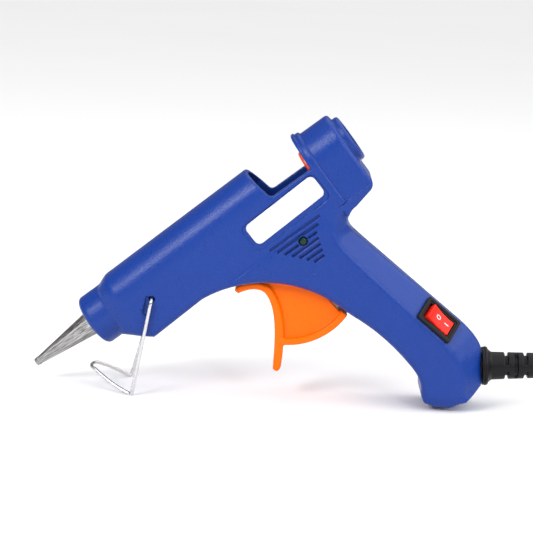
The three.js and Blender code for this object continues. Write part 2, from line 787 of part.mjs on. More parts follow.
function switchHousing() {
  const rim = new THREE.ExtrudeGeometry(roundedRect(BEZEL.width, BEZEL.length, 0.7), {
    depth: 0.7,
    bevelEnabled: true,
    bevelThickness: 0.3,
    bevelSize: 0.3,
    bevelOffset: -0.3,
    bevelSegments: 1,
    curveSegments: 3,
  });
  rim.translate(0, 0, GAP + 0.3);
  const bodyBox = box(-4.15, 4.15, -6.4, 6.4, -8.2, 0.6);
  return placed(solid(rim).add(bodyBox).subtract(box(-3.2, 3.2, -5.35, 5.35, -5.6, 5)));
}
add(gun, "switch_housing", switchHousing(), BLACK());

function rocker() {
  const shape = outline([-4.6, -3.2], [4.6, -3.2], [4.85, 1.9], [0, 1.25], [-4.85, 1.9]);
  const geometry = new THREE.ExtrudeGeometry(shape, { depth: 5.8, bevelEnabled: false });
  const turn = new THREE.Matrix4().makeBasis(
    new THREE.Vector3(0, 1, 0),
    new THREE.Vector3(0, 0, 1),
    new THREE.Vector3(1, 0, 0),
  );
  geometry.applyMatrix4(turn);
  geometry.translate(-2.9, 0, 1);
  geometry.rotateX(ROCKER_TILT);
  geometry.translate(0, 0, -1);
  return placed(solid(geometry));
}
add(gun, "switch_rocker", rocker(), RED());

for (const [name, y] of [["switch_terminal_in", -TERMINAL.y], ["switch_terminal_out", TERMINAL.y]]) {
  add(gun, name, placed(box(-1.4, 1.4, y - 0.25, y + 0.25, TERMINAL.tip, TERMINAL.root)), BRASS());
}

// ---------------------------------------------------------------- lamp and label
function lamp() {
  const profile = [
    [-LED.radius, 0],
    [-1.2, LED.radius * 0.75],
    [-0.6, LED.radius * 0.97],
    [0, LED.radius],
    [3.4, LED.radius],
    [3.4, 0],
  ];
  const geometry = geometryOf(turned(profile, 20));
  geometry.rotateZ(Math.PI / 2);
  geometry.translate(LED.x, -HALF_WIDTH + 0.5, LED.z);
  return solid(geometry);
}
add(gun, "led_lamp", lamp(), GREEN());
add(gun, "led_board", box(95, 105.4, -7.2, -6.4, -22.5, -14.8), finish(0x2d6b3c, 0.5));
add(gun, "led_resistor", (() => {
  const geometry = new THREE.CylinderGeometry(0.9, 0.9, 5.4, 12);
  geometry.rotateZ(Math.PI / 2);
  geometry.translate(100.2, -5.1, -20.4);
  return solid(geometry);
})(), finish(0xc9b083, 0.5));
add(gun, "label_plate", labelPlate(0, -HALF_WIDTH, -HALF_WIDTH + 0.35), WHITE());

// ---------------------------------------------------------------- fasteners
function screw({ x, z }) {
  const head = rodY(x, z, 2.3, 9.2, 10.6, 12);
  const shank = rodY(x, z, 1, -7, 9.4, 8);
  const cross = box(x - 1.3, x + 1.3, 9.9, 12, z - 0.3, z + 0.3)
    .add(box(x - 0.3, x + 0.3, 9.9, 12, z - 1.3, z + 1.3));
  return head.add(shank).subtract(cross);
}
for (const [name, place] of Object.entries(SCREWS)) {
  add(gun, `screw_${name}`, screw(place), STEEL());
}

// ---------------------------------------------------------------- lead inside the handle
const inBoot = (s, side = 0, up = 0) =>
  new THREE.Vector3(s, side, up).applyMatrix4(BOOT_FRAME).toArray();

add(gun, "cord_boot", turnedIn(BOOT_FRAME, (() => {
  const profile = [
    [-5, CORD_R + GAP],
    [-5, BOOT.lip],
    [-3.2, BOOT.lip],
    [-3.2, BOOT.neck],
    [GAP, BOOT.neck],
    [GAP, BOOT.flange],
    [2.3, BOOT.flange],
    [BOOT.shank, BOOT.radius],
  ];
  const ribs = 6;
  const pitch = (BOOT_LENGTH - 4.4) / ribs;
  for (let i = 0; i < ribs; i += 1) {
    const start = BOOT.shank + i * pitch;
    const radius = BOOT.radius - 0.12 * i;
    profile.push([start + pitch - 1.1, radius], [start + pitch - 0.9, radius - 0.9]);
    profile.push([start + pitch - 0.2, radius - 0.9], [start + pitch, radius - 0.12]);
  }
  profile.push([BOOT_LENGTH, 3.5], [BOOT_LENGTH, CORD_R + GAP]);
  return profile;
})(), 16), BLACK());

function cordClamp() {
  const block = box(CLAMP.from, CLAMP.to, -CLAMP.half, CLAMP.half, 0.4, 4.6);
  const groove = turned([[-20, 0], [-20, CORD_R + GAP], [0, CORD_R + GAP], [0, 0]], 20);
  return solid(geometryOf(block.subtract(groove)).applyMatrix4(BOOT_FRAME));
}
add(gun, "cord_clamp", cordClamp(), WHITE());
for (const [name, y] of [["clamp_screw_left", -CLAMP.screwY], ["clamp_screw_right", CLAMP.screwY]]) {
  const geometry = new THREE.CylinderGeometry(1.9, 1.9, 1.4, 14);
  geometry.rotateX(Math.PI / 2);
  geometry.translate((CLAMP.from + CLAMP.to) / 2, y, 5.6);
  add(gun, name, solid(geometry.applyMatrix4(BOOT_FRAME)), STEEL());
}

const cordEnd = inBoot(-12.6);
function wire(name, points, material, steps) {
  add(gun, name, tube(bentPath(points, 3), LEAD_R, 5, steps), material);
}
const terminalIn = new THREE.Vector3(0, -TERMINAL.y, TERMINAL.wire).applyMatrix4(SWITCH_FRAME).toArray();
const terminalOut = new THREE.Vector3(0, TERMINAL.y, TERMINAL.wire).applyMatrix4(SWITCH_FRAME).toArray();
wire("wire_live", [
  [cordEnd[0], -1.2, cordEnd[2]],
  [cordEnd[0] - 2, -1.6, cordEnd[2] + 4],
  [terminalIn[0] - 1, terminalIn[1] + 0.4, terminalIn[2] - 3],
  terminalIn,
], finish(0x6b3a1e, 0.5), 14);
wire("wire_switched", [
  terminalOut,
  [terminalOut[0] - 2.4, terminalOut[1] - 0.6, terminalOut[2] + 5],
  [108.5, -4, -50],
  [102, -7.8, -44],
  [100.6, -8.1, -32],
  [91.8, -8.2, -19],
  [85, -8.2, -12],
  [75, -8, -6],
  [68, -8, -4.2],
  [60.4, -7.2, -6.6],
  [57.4, -3, -7.6],
], finish(0x9c2a20, 0.5), 44);
wire("wire_neutral", [
  [cordEnd[0], 1.2, cordEnd[2]],
  [110, 6.4, -77],
  [107, 7.6, -62],
  [102.4, 8, -44],
  [100.6, 8.1, -32],
  [95.6, 8.2, -20],
  [86, 8.2, -13],
  [75, 8, -6],
  [68, 8, -4.2],
  [60.4, 7.2, -6.6],
  [57.4, 3, -7.6],
], finish(0x274f9a, 0.5), 46);

// ---------------------------------------------------------------- standing on the floor
gun.rotation.y = -PITCH;
gun.updateMatrixWorld(true);
const around = new THREE.Box3().setFromObject(gun, true);
gun.position.set(-(around.min.x + around.max.x) / 2, 0, -around.min.z);
gun.updateMatrixWorld(true);

// ---------------------------------------------------------------- lead on the floor
const world = (x, y, z) => new THREE.Vector3(x, y, z).applyMatrix4(gun.matrixWorld);
const bootStart = world(...inBoot(-12));
const bootTip = world(...inBoot(BOOT_LENGTH));
const LIE = CORD_R + 0.1; // height of the lead's middle on the floor
const hankStart = HANK.x - HANK.length / 2;
const cordPath = bentPath(
  [
    bootStart.toArray(),
    bootTip.toArray(),
    [bootTip.x + 11, 0, bootTip.z + 0.6],
    [bootTip.x + 37, 0, LIE],
    [hankStart - GAP, 0, LIE],
  ],
  13,
);
add(part, "cord_run", tube(cordPath, CORD_R, 10, 24), BLACK());

// The rest of the lead is folded into long loops, one on another, and tied.
function upright(shape, fromZ, toZ, x, curveSegments = 8) {
  const geometry = new THREE.ExtrudeGeometry(shape, {
    depth: toZ - fromZ,
    bevelEnabled: false,
    curveSegments,
  });
  geometry.translate(x, 0, fromZ);
  return solid(geometry);
}
const hankTop = HANK.base + HANK.height;
const hankShape = roundedRect(HANK.length, HANK.width, HANK.width / 2 - 0.01);
const inLoops = { length: HANK.length - 4 * CORD_R, width: HANK.width - 4 * CORD_R };
hankShape.holes.push(roundedRect(inLoops.length, inLoops.width, inLoops.width / 2 - 0.01));
add(part, "cord_hank", upright(hankShape, HANK.base, hankTop, HANK.x), BLACK());

function hankTie() {
  const half = HANK.width / 2 + GAP;
  const { x, thick } = TIE;
  const x0 = x - TIE.width / 2;
  const x1 = x + TIE.width / 2;
  const outer = box(x0, x1, -half - thick, half + thick, HANK.base - GAP - thick,
    hankTop + GAP + thick);
  return outer.subtract(box(x0 - 1, x1 + 1, -half, half, HANK.base - GAP, hankTop + GAP));
}
add(part, "cord_tie", hankTie(), BLACK());

// The plug lies on the hank, its pins on the end loop, and the lead's end leads up to it.
const topTurn = hankTop + GAP + CORD_R;
const endLoop = hankStart + HANK.width / 2; // centre of the loops' round end
const loopR = HANK.width / 2 - CORD_R;
const tail = bentPath(
  [
    [endLoop - 6, loopR - 0.6, topTurn],
    [endLoop - loopR, 4, topTurn],
    [endLoop - 7, -loopR - 0.4, topTurn + 0.4],
    [endLoop + 15, -9.5, topTurn + 2.4],
    [PLUG_BACK.x - 9, 0, PLUG_BACK.z + 0.6],
    [PLUG_BACK.x - GAP, 0, PLUG_BACK.z],
  ],
  9,
);
add(part, "cord_tail", tube(tail, CORD_R, 10, 18), BLACK());

function inPlug(geometry) {
  geometry.rotateY(PLUG_LEAN);
  geometry.translate(PLUG_BACK.x, 0, PLUG_BACK.z);
  return solid(geometry);
}

function plugBody() {
  const half = PLUG.width / 2;
  const taper = outline(
    [0, -4.2], [5, -4.6], [13, -half + 1.5], [PLUG.length - 2, -half], [PLUG.length, -half + 2],
    [PLUG.length, half - 2], [PLUG.length - 2, half], [13, half - 1.5], [5, 4.6], [0, 4.2],
  );
  const geometry = new THREE.ExtrudeGeometry(taper, { depth: PLUG.thick, bevelEnabled: false });
  geometry.translate(0, 0, -PLUG.thick / 2);
  return [-1, 1].reduce((body, side) => body.subtract(pinRod(side, GAP)), inPlug(geometry));
}

function pinRod(side, room = 0) {
  const length = PLUG.pinLength + PIN_ROOT;
  const geometry = new THREE.CylinderGeometry(PLUG.pinR + room, PLUG.pinR + room, length + 2 * room, 14);
  geometry.rotateZ(Math.PI / 2);
  geometry.translate(PLUG.length - PIN_ROOT + length / 2, (side * PLUG.pinGap) / 2, 0);
  return inPlug(geometry);
}
add(part, "plug_body", plugBody(), BLACK());
add(part, "plug_pin_left", pinRod(-1), BRASS());
add(part, "plug_pin_right", pinRod(1), BRASS());

export default part;
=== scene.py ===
import json
import math

import bmesh
import bpy
import numpy as np
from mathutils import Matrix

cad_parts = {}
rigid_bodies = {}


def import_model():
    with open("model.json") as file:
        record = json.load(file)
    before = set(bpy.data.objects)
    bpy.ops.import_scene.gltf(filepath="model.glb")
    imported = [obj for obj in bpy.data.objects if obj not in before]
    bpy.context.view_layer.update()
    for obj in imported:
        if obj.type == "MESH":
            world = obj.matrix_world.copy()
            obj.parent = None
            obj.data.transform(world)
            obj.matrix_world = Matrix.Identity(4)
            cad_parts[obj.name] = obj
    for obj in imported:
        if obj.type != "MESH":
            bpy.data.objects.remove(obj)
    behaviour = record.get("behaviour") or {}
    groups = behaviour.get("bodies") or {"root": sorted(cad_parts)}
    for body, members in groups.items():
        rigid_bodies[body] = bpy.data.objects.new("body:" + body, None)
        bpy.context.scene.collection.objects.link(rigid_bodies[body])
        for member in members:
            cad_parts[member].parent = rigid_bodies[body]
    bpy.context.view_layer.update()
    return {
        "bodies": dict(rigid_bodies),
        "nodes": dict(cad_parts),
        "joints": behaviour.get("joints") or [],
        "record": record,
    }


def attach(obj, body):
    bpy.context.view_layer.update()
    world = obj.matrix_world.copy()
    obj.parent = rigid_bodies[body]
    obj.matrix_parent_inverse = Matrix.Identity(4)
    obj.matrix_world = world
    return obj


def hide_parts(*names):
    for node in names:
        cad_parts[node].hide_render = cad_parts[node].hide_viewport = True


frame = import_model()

import openvdb
from mathutils import Matrix, Vector

# The gun's own frame: X back along the glue stick, Y away from the switch side, Z up.
# Millimetres, turned by the pitch at which the gun stands and then moved by SHIFT.
DEG = math.pi / 180
MM = Matrix.Scale(0.001, 4)
PITCH = 39.3 * DEG
SHIFT = (-89.38513, 0, 6.25756)
GUN = Matrix.Translation([c / 1000 for c in SHIFT]) @ Matrix.Rotation(-PITCH, 4, "Y") @ MM


def link(name, data):
    ob = bpy.data.objects.new(name, data)
    bpy.context.scene.collection.objects.link(ob)
    return ob


# ------------------------------------------------------------------ camera
TARGET = Vector((-0.01265, 0, 0.04435))
BACK = Vector((0.0090, -0.9820, 0.1888)).normalized()
UP = Vector((-0.0591, 0.188, 0.9804))
DISTANCE = 0.6034
FOCAL_LENGTH = 120.6

camera_data = bpy.data.cameras.new("camera")
camera_data.lens = FOCAL_LENGTH
camera_data.sensor_width = 36
camera = link("camera", camera_data)
right = UP.cross(BACK).normalized()
above = BACK.cross(right)
turn = Matrix((right, above, BACK)).transposed().to_4x4()
camera.matrix_world = Matrix.Translation(TARGET + DISTANCE * BACK) @ turn
bpy.context.scene.camera = camera


# ------------------------------------------------------------------ materials
class Nodes:
    """A material's node tree, with short names for what this scene uses."""

    def __init__(self, name):
        self.material = bpy.data.materials.new(name)
        self.material.use_nodes = True
        self.tree = self.material.node_tree
        self.shader = self.tree.nodes["Principled BSDF"]

    def new(self, kind, **values):
        node = self.tree.nodes.new(kind)
        for key, value in values.items():
            setattr(node, key, value)
        return node

    def join(self, a, b):
        self.tree.links.new(a, b)

    def set(self, **values):
        for key, value in values.items():
            self.shader.inputs[key.replace("_", " ")].default_value = value

    def place(self, rotation=(0, 0, 0)):
        spot = self.new("ShaderNodeTexCoord")
        mapping = self.new("ShaderNodeMapping")
        mapping.inputs["Rotation"].default_value = rotation
        self.join(spot.outputs["Object"], mapping.inputs["Vector"])
        return mapping.outputs["Vector"]

    def noise(self, scale, detail=2, vector=None, roughness=0.5):
        node = self.new("ShaderNodeTexNoise")
        node.inputs["Scale"].default_value = scale
        node.inputs["Detail"].default_value = detail
        node.inputs["Roughness"].default_value = roughness
        self.join(vector or self.place(), node.inputs["Vector"])
        return node.outputs["Fac"]

    def span(self, value, low, high, from_low=0.3, from_high=0.7):
        node = self.new("ShaderNodeMapRange")
        node.inputs["From Min"].default_value = from_low
        node.inputs["From Max"].default_value = from_high
        node.inputs["To Min"].default_value = low
        node.inputs["To Max"].default_value = high
        self.join(value, node.inputs["Value"])
        return node.outputs["Result"]

    def blend(self, fac, a, b):
        node = self.new("ShaderNodeMix", data_type="RGBA")
        node.inputs["A"].default_value = (*a, 1)
        node.inputs["B"].default_value = (*b, 1)
        self.join(fac, node.inputs["Factor"])
        return node.outputs["Result"]

    def math(self, operation, *values):
        """A sum on values that are each a socket or a number."""
        node = self.new("ShaderNodeMath", operation=operation)
        for socket, value in zip(node.inputs, values):
            if isinstance(value, (int, float)):
                socket.default_value = value
            else:
                self.join(value, socket)
        return node.outputs["Value"]

    def dress(self, tone, colours, fine, depth, rough=None):
        """A surface's two colours, its relief, and its range of roughness if it has one."""
        self.join(self.blend(tone, *colours), self.shader.inputs["Base Color"])
        bump = self.new("ShaderNodeBump")
        bump.inputs["Distance"].default_value = depth
        bump.inputs["Strength"].default_value = 1
        self.join(fine, bump.inputs["Height"])
        self.join(bump.outputs["Normal"], self.shader.inputs["Normal"])
        if rough:
            self.join(self.span(fine, *rough), self.shader.inputs["Roughness"])


def linear(r, g, b):
    """An sRGB colour of 0 to 255 as linear values."""
    return tuple(
        c / 3294.6 if c <= 10.3 else ((c / 255 + 0.055) / 1.055) ** 2.4
        for c in (r, g, b)
    )


def plastic(name, colour, rough=0.4, grain=0.00022, depth=0.000012, drift=0.06, gloss=0.5):
    """Moulded plastic: a fine grain in its surface and a slow drift of colour and sheen."""
    n = Nodes(name)
    low = tuple(c * (1 - drift) for c in colour)
    high = tuple(min(1, c * (1 + drift)) for c in colour)
    n.dress(n.noise(55, 3), (low, high), n.noise(1 / grain, 3), depth, (rough - 0.05, rough + 0.08))
    n.set(IOR=1.5, Specular_IOR_Level=gloss)
    return n.material


def rubber(name, colour, rough):
    n = Nodes(name)
    low = tuple(c * 0.8 for c in colour)
    n.dress(n.noise(160, 4), (low, colour), n.noise(2600, 3), 0.00001, (rough - 0.08, rough + 0.12))
    n.set(Specular_IOR_Level=0.2)
    return n.material


def metal(name, colour, rough, grain=1500, depth=0.000004):
    n = Nodes(name)
    low = tuple(c * 0.82 for c in colour)
    n.dress(n.noise(260, 4), (low, colour), n.noise(grain, 4), depth, (rough - 0.06, rough + 0.12))
    n.set(Metallic=1.0)
    return n.material


# Where the stick's axis lies above the row's origin, square to the axis, in metres.
AXIS_DROP = (SHIFT[0] * math.sin(PITCH) - SHIFT[2] * math.cos(PITCH)) / 1000


def streaked_steel(name):
    """Steel with fine streaks that run along the stick's axis, all round a turned piece."""
    n = Nodes(name)
    parts = n.new("ShaderNodeSeparateXYZ")
    n.join(n.place((0, PITCH, 0)), parts.inputs["Vector"])
    x, y, z = parts.outputs
    angle = n.math("ARCTAN2", y, n.math("ADD", z, AXIS_DROP))
    along = n.new("ShaderNodeCombineXYZ")
    n.join(n.math("MULTIPLY", x, 36), along.inputs["X"])
    n.join(n.math("MULTIPLY", angle, 2.4), along.inputs["Y"])
    streak = n.noise(9, 6, along.outputs["Vector"], 0.72)
    broad = n.noise(2.6, 2, along.outputs["Vector"])
    tone = n.span(n.math("MULTIPLY_ADD", broad, 0.45, streak), 0, 1, 0.6, 0.86)
    n.dress(tone, ((0.07, 0.07, 0.075), (0.66, 0.65, 0.64)), streak, 0.00003, (0.24, 0.46))
    n.set(Metallic=1.0)
    return n.material


def label_paper(name):
    n = Nodes(name)
    mottle = n.noise(420, 5, roughness=0.65)
    tone = n.span(mottle, 0, 1, 0.42, 0.6)
    n.dress(tone, (linear(206, 206, 213), linear(228, 228, 232)), n.noise(1800, 3), 0.000008)
    n.set(Roughness=0.5)
    return n.material


def lens_green(name):
    n = Nodes(name)
    n.dress(n.noise(900, 2), (linear(0, 24, 10), linear(0, 46, 20)), n.noise(700, 2), 0.00001)
    n.set(Roughness=0.12, Specular_IOR_Level=0.35)
    return n.material


# A look is a material and the material slot that it stands for.
BLUE = plastic("blue abs", linear(16, 54, 136), 0.3, 0.0005, 0.00009, gloss=0.28), "blue_abs"
ORANGE = plastic("orange abs", linear(255, 106, 0), 0.26, 0.0004, 0.000004, gloss=0.15), "orange_abs"
FLAME = plastic("flame plastic", linear(232, 76, 30), 0.28, depth=0.000004), "flame_plastic"
RED = plastic("red plastic", linear(238, 40, 28), 0.26, 0.0006, 0.000003, gloss=0.2), "red_plastic"
BLACK = plastic("black plastic", linear(15, 14, 16), 0.42, drift=0.2, gloss=0.2), "black_plastic"
NATURAL = plastic("natural plastic", linear(232, 230, 222), 0.45)
MARK = plastic("mark white", linear(240, 238, 236), 0.5), "red_plastic"
RUBBER = rubber("black rubber", linear(16, 15, 19), 0.4), "black_rubber"
PVC = rubber("cord pvc", linear(22, 21, 24), 0.38), "black_rubber"
SILICONE = rubber("silicone", linear(214, 206, 190), 0.45), "silicone"
WIRE_STEEL = metal("wire steel", (0.72, 0.72, 0.73), 0.2, depth=0.000001), "wire_steel"
STEEL = metal("zinc steel", (0.58, 0.57, 0.54), 0.3), "sheet_steel"
NOZZLE = streaked_steel("streaked steel"), "nozzle_steel"
CAST = metal("cast aluminium", (0.6, 0.6, 0.6), 0.45, 700, 0.00003), "cast_aluminium"
BRASS = metal("brass", (0.78, 0.57, 0.22), 0.26), "brass"
BOARD = plastic("circuit board", linear(30, 92, 48), 0.3, drift=0.2), "circuit_board"
RESISTOR = plastic("resistor", linear(196, 172, 120), 0.35), "resistor_body"
WIRE_BROWN = plastic("wire brown", linear(96, 56, 34)), "wire_brown"
WIRE_RED = plastic("wire red", linear(160, 40, 32)), "wire_red"
WIRE_BLUE = plastic("wire blue", linear(38, 78, 160)), "wire_blue"
LABEL = label_paper("label"), "label_white"
LENS = lens_green("green lens"), "green_lens"


# ------------------------------------------------------------------ meshes
def finish_object(name, mesh, look, nodes, body, smooth=True, sharp=None):
    material, slot = look
    ob = link(name, mesh)
    mesh.materials.append(material)
    if smooth:
        mesh.shade_smooth()
    if sharp:
        mesh.set_sharp_from_angle(angle=sharp * DEG)
    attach(ob, body)
    if nodes:
        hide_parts(*nodes)
    return ob


def mesh_of(name, points, faces, matrix=GUN):
    mesh = bpy.data.meshes.new(name)
    placed = [matrix @ Vector(p) for p in points]
    mesh.from_pydata(placed, [], faces)
    mesh.validate()
    mesh.update()
    return mesh


def rounded_profile(points, steps):
    """A closed outline of (a, b, radius) corners as points, each corner an arc."""
    out = []
    count = len(points)
    for i, (x, y, r) in enumerate(points):
        here = np.array((x, y), float)
        before = np.array(points[i - 1][:2], float) - here
        after = np.array(points[(i + 1) % count][:2], float) - here
        if r <= 0:
            out.append(tuple(here))
            continue
        lb, la = np.linalg.norm(before), np.linalg.norm(after)
        before, after = before / lb, after / la
        half = math.acos(np.clip(np.dot(before, after), -0.999999, 0.999999)) / 2
        cut = min(r / math.tan(half), 0.48 * lb, 0.48 * la)
        radius = cut * math.tan(half)
        centre = here + (before + after) / np.linalg.norm(before + after) * math.hypot(cut, radius)
        a, b = here + before * cut - centre, here + after * cut - centre
        for k in range(steps + 1):
            t = k / steps
            ang = math.acos(np.clip(np.dot(a, b) / radius**2, -1, 1))
            if ang < 1e-4:
                p = a * (1 - t) + b * t
            else:
                p = (math.sin((1 - t) * ang) * a + math.sin(t * ang) * b) / math.sin(ang)
            out.append(tuple(centre + p))
    return out


def lathe(name, profile, look, nodes=(), sides=96, matrix=GUN, steps=4, sharp=35, body="gun_body"):
    """A closed outline of (along, radius, corner radius) turned about the X axis."""
    ring = rounded_profile(profile, steps)
    points, faces = [], []
    rows = []
    for x, r in ring:
        if r < 1e-6:
            rows.append([len(points)] * sides)
            points.append((x, 0, 0))
            continue
        rows.append(list(range(len(points), len(points) + sides)))
        for k in range(sides):
            t = 2 * math.pi * k / sides
            points.append((x, r * math.sin(t), r * math.cos(t)))
    for i, row in enumerate(rows):
        nxt = rows[(i + 1) % len(rows)]
        for k in range(sides):
            loop = [row[k], row[(k + 1) % sides], nxt[(k + 1) % sides], nxt[k]]
            kept = [v for j, v in enumerate(loop) if v != loop[j - 1]]
            if len(set(kept)) > 2:
                faces.append(kept)
    mesh = mesh_of(name, points, faces, matrix)
    face_out(mesh)
    return finish_object(name, mesh, look, nodes, body, sharp=sharp)


def face_out(mesh):
    bm = bmesh.new()
    bm.from_mesh(mesh)
    bmesh.ops.remove_doubles(bm, verts=bm.verts, dist=1e-8)
    bmesh.ops.recalc_face_normals(bm, faces=bm.faces)
    bm.to_mesh(mesh)
    bm.free()


PATH_STEP = 0.4
END_ROUNDING = 0.5  # of a rod's radius


def smooth_path(points, corner):
    """Points along straight runs joined by round corners."""
    pts = [np.array(p, float) for p in points]
    out = [pts[0]]
    for i in range(1, len(pts) - 1):
        before, after = pts[i - 1] - pts[i], pts[i + 1] - pts[i]
        lb, la = np.linalg.norm(before), np.linalg.norm(after)
        cut = min(corner, 0.45 * lb, 0.45 * la)
        enter, leave = pts[i] + before / lb * cut, pts[i] + after / la * cut
        for k in range(9):
            t = k / 8
            out.append((1 - t) ** 2 * enter + 2 * t * (1 - t) * pts[i] + t * t * leave)
    out.append(pts[-1])
    dense = [out[0]]
    for a, b in zip(out, out[1:]):
        n = max(1, int(np.linalg.norm(b - a) / PATH_STEP))
        dense += [a + (b - a) * k / n for k in range(1, n + 1)]
    return np.array(dense)


def ring_rows(path, radius):
    """A round rod's rings along a dense path: centre, direction and radius, its ends rounded."""
    path = np.array(path, float)
    tangent = np.gradient(path, axis=0)
    tangent /= np.linalg.norm(tangent, axis=1)[:, None]
    travelled = np.concatenate([[0], np.cumsum(np.linalg.norm(np.diff(path, axis=0), axis=1))])
    edge = radius * END_ROUNDING
    stations = []
    for k in range(4):
        t = k / 4 * math.pi / 2
        stations.append((edge * (1 - math.cos(t)), radius - edge + edge * math.sin(t)))
    rows = [(path[0] + tangent[0] * s, tangent[0], r) for s, r in stations]
    for centre, along, far in zip(path, tangent, travelled):
        if edge <= far <= travelled[-1] - edge:
            rows.append((centre, along, radius))
    rows += [(path[-1] - tangent[-1] * s, tangent[-1], r) for s, r in reversed(stations)]
    return rows


def tube(name, path, radius, look, nodes, sides, matrix=GUN, body="gun_body"):
    """A round rod along a dense path."""
    rows = ring_rows(path, radius)
    side = np.cross(rows[0][1], (0.31, 0.17, 0.93))
    turn = np.arange(sides) * 2 * math.pi / sides
    rings = []
    for centre, along, size in rows:
        side = side - along * np.dot(side, along)
        side /= np.linalg.norm(side)
        up = np.cross(along, side)
        rings.append(centre + size * (np.cos(turn)[:, None] * side + np.sin(turn)[:, None] * up))
    faces = []
    for i in range(len(rings) - 1):
        for k in range(sides):
            a, b = i * sides + k, i * sides + (k + 1) % sides
            faces.append((a, b, b + sides, a + sides))
    last = (len(rings) - 1) * sides
    faces += [tuple(range(sides))[::-1], tuple(range(last, last + sides))]
    mesh = mesh_of(name, np.concatenate(rings), faces, matrix)
    face_out(mesh)
    return finish_object(name, mesh, look, nodes, body, sharp=50)


# ------------------------------------------------------------------ solids from distances
def fillet(a, b, r):
    """The overlap of two solids, given as distances, with its edge rounded to r."""
    u, v = np.maximum(a + r, 0), np.maximum(b + r, 0)
    return np.hypot(u, v) + np.minimum(np.maximum(a + r, b + r), 0) - r


def cut(a, b, r=0.0):
    return fillet(a, -b, r) if r else np.maximum(a, -b)


def weld(a, b, r):
    """Two solids together, with a fillet of r between them."""
    return -fillet(-a, -b, r)


def step_up(value, low, high):
    t = np.clip((value - low) / (high - low), 0, 1)
    return t * t * (3 - 2 * t)


def inside(x, z, outline):
    """Distance to a closed outline in the X-Z plane, less than nothing inside it."""
    near = np.full(x.shape, 1e9)
    odd = np.zeros(x.shape, bool)
    for (ax, az), (bx, bz) in zip(outline, np.roll(outline, -1, axis=0)):
        ex, ez = bx - ax, bz - az
        long = ex * ex + ez * ez
        if long < 1e-12:
            continue
        wx, wz = x - ax, z - az
        t = np.clip((wx * ex + wz * ez) / long, 0, 1)
        near = np.minimum(near, (wx - ex * t) ** 2 + (wz - ez * t) ** 2)
        if az != bz:
            crosses = (az > z) != (bz > z)
            odd ^= crosses & (x < ex * (z - az) / (bz - az) + ax)
    return np.where(odd, -1, 1) * np.sqrt(near)


def between(x, low, high):
    """Distance past the ends of a range, less than nothing within it."""
    return np.maximum(low - x, x - high)


def turned(a, b, angle):
    """The pair (a, b) from axes turned by the angle."""
    c, s = math.cos(angle), math.sin(angle)
    return a * c + b * s, -a * s + b * c


def arc(cx, cz, r, a0, a1, n=24):
    turns = [(a0 + (a1 - a0) * k / n) * DEG for k in range(n + 1)]
    return [(cx + r * math.cos(t), cz + r * math.sin(t)) for t in turns]


def bezier(*control, n=16):
    out = []
    for k in range(n + 1):
        pts = [np.array(c, float) for c in control]
        t = k / n
        while len(pts) > 1:
            pts = [a * (1 - t) + b * t for a, b in zip(pts, pts[1:])]
        out.append(tuple(pts[0]))
    return out


def field_object(name, field, low, high, size, look, nodes, adapt, frame=Matrix(), body="gun_body"):
    """Meshes the solid where field(x, y, z) < 0, and puts its points and normals exactly."""
    size = size * 1
    low, high = np.array(low, float), np.array(high, float)
    count = np.ceil((high - low) / size).astype(int) + 1
    axes = [low[i] + size * np.arange(count[i]) for i in range(3)]
    x, y, z = axes[0][:, None, None], axes[1][None, :, None], axes[2][None, None, :]
    values = np.broadcast_to(field(x, y, z), count)
    band = 3 * size
    grid = openvdb.FloatGrid(band)
    grid.copyFromArray(np.ascontiguousarray(np.clip(values, -band, band), dtype=np.float32))
    points, triangles, quads = grid.convertToPolygons(isovalue=0.0, adaptivity=adapt)
    points = np.array(points, float) * size + low
    faces = [tuple(f) for f in quads] + [tuple(f) for f in triangles]

    def value(p):
        return field(p[:, 0], p[:, 1], p[:, 2])

    def gradient(p, e):
        steps = np.eye(3) * e
        return np.stack([(value(p + s) - value(p - s)) / (2 * e) for s in steps], axis=1)

    for _ in range(2):
        slope = gradient(points, 0.02)
        steep = np.maximum((slope**2).sum(axis=1), 0.2)
        move = -slope * (value(points) / steep)[:, None]
        far = np.maximum(np.linalg.norm(move, axis=1) / (0.6 * size), 1)
        points = points + move / far[:, None]
    slope = gradient(points, 0.05)
    normal = slope / np.maximum(np.linalg.norm(slope, axis=1), 1e-9)[:, None]
    mesh = mesh_of(name, points, faces, GUN @ frame)
    corner = np.zeros(len(mesh.loops), int)
    mesh.loops.foreach_get("vertex_index", corner)
    turned = (GUN @ frame).to_3x3().normalized()
    world_normal = normal @ np.array(turned).T
    world_normal /= np.linalg.norm(world_normal, axis=1)[:, None]
    flat = np.zeros(len(mesh.polygons) * 3)
    mesh.polygons.foreach_get("normal", flat)
    start = np.zeros(len(mesh.polygons), int)
    mesh.polygons.foreach_get("loop_start", start)
    agree = (flat.reshape(-1, 3) * world_normal[corner[start]]).sum(axis=1)
    if np.median(agree) < 0:
        mesh.flip_normals()
    mesh.shade_smooth()
    mesh.normals_split_custom_set_from_vertices(world_normal)
    return finish_object(name, mesh, look, nodes, body, smooth=False)


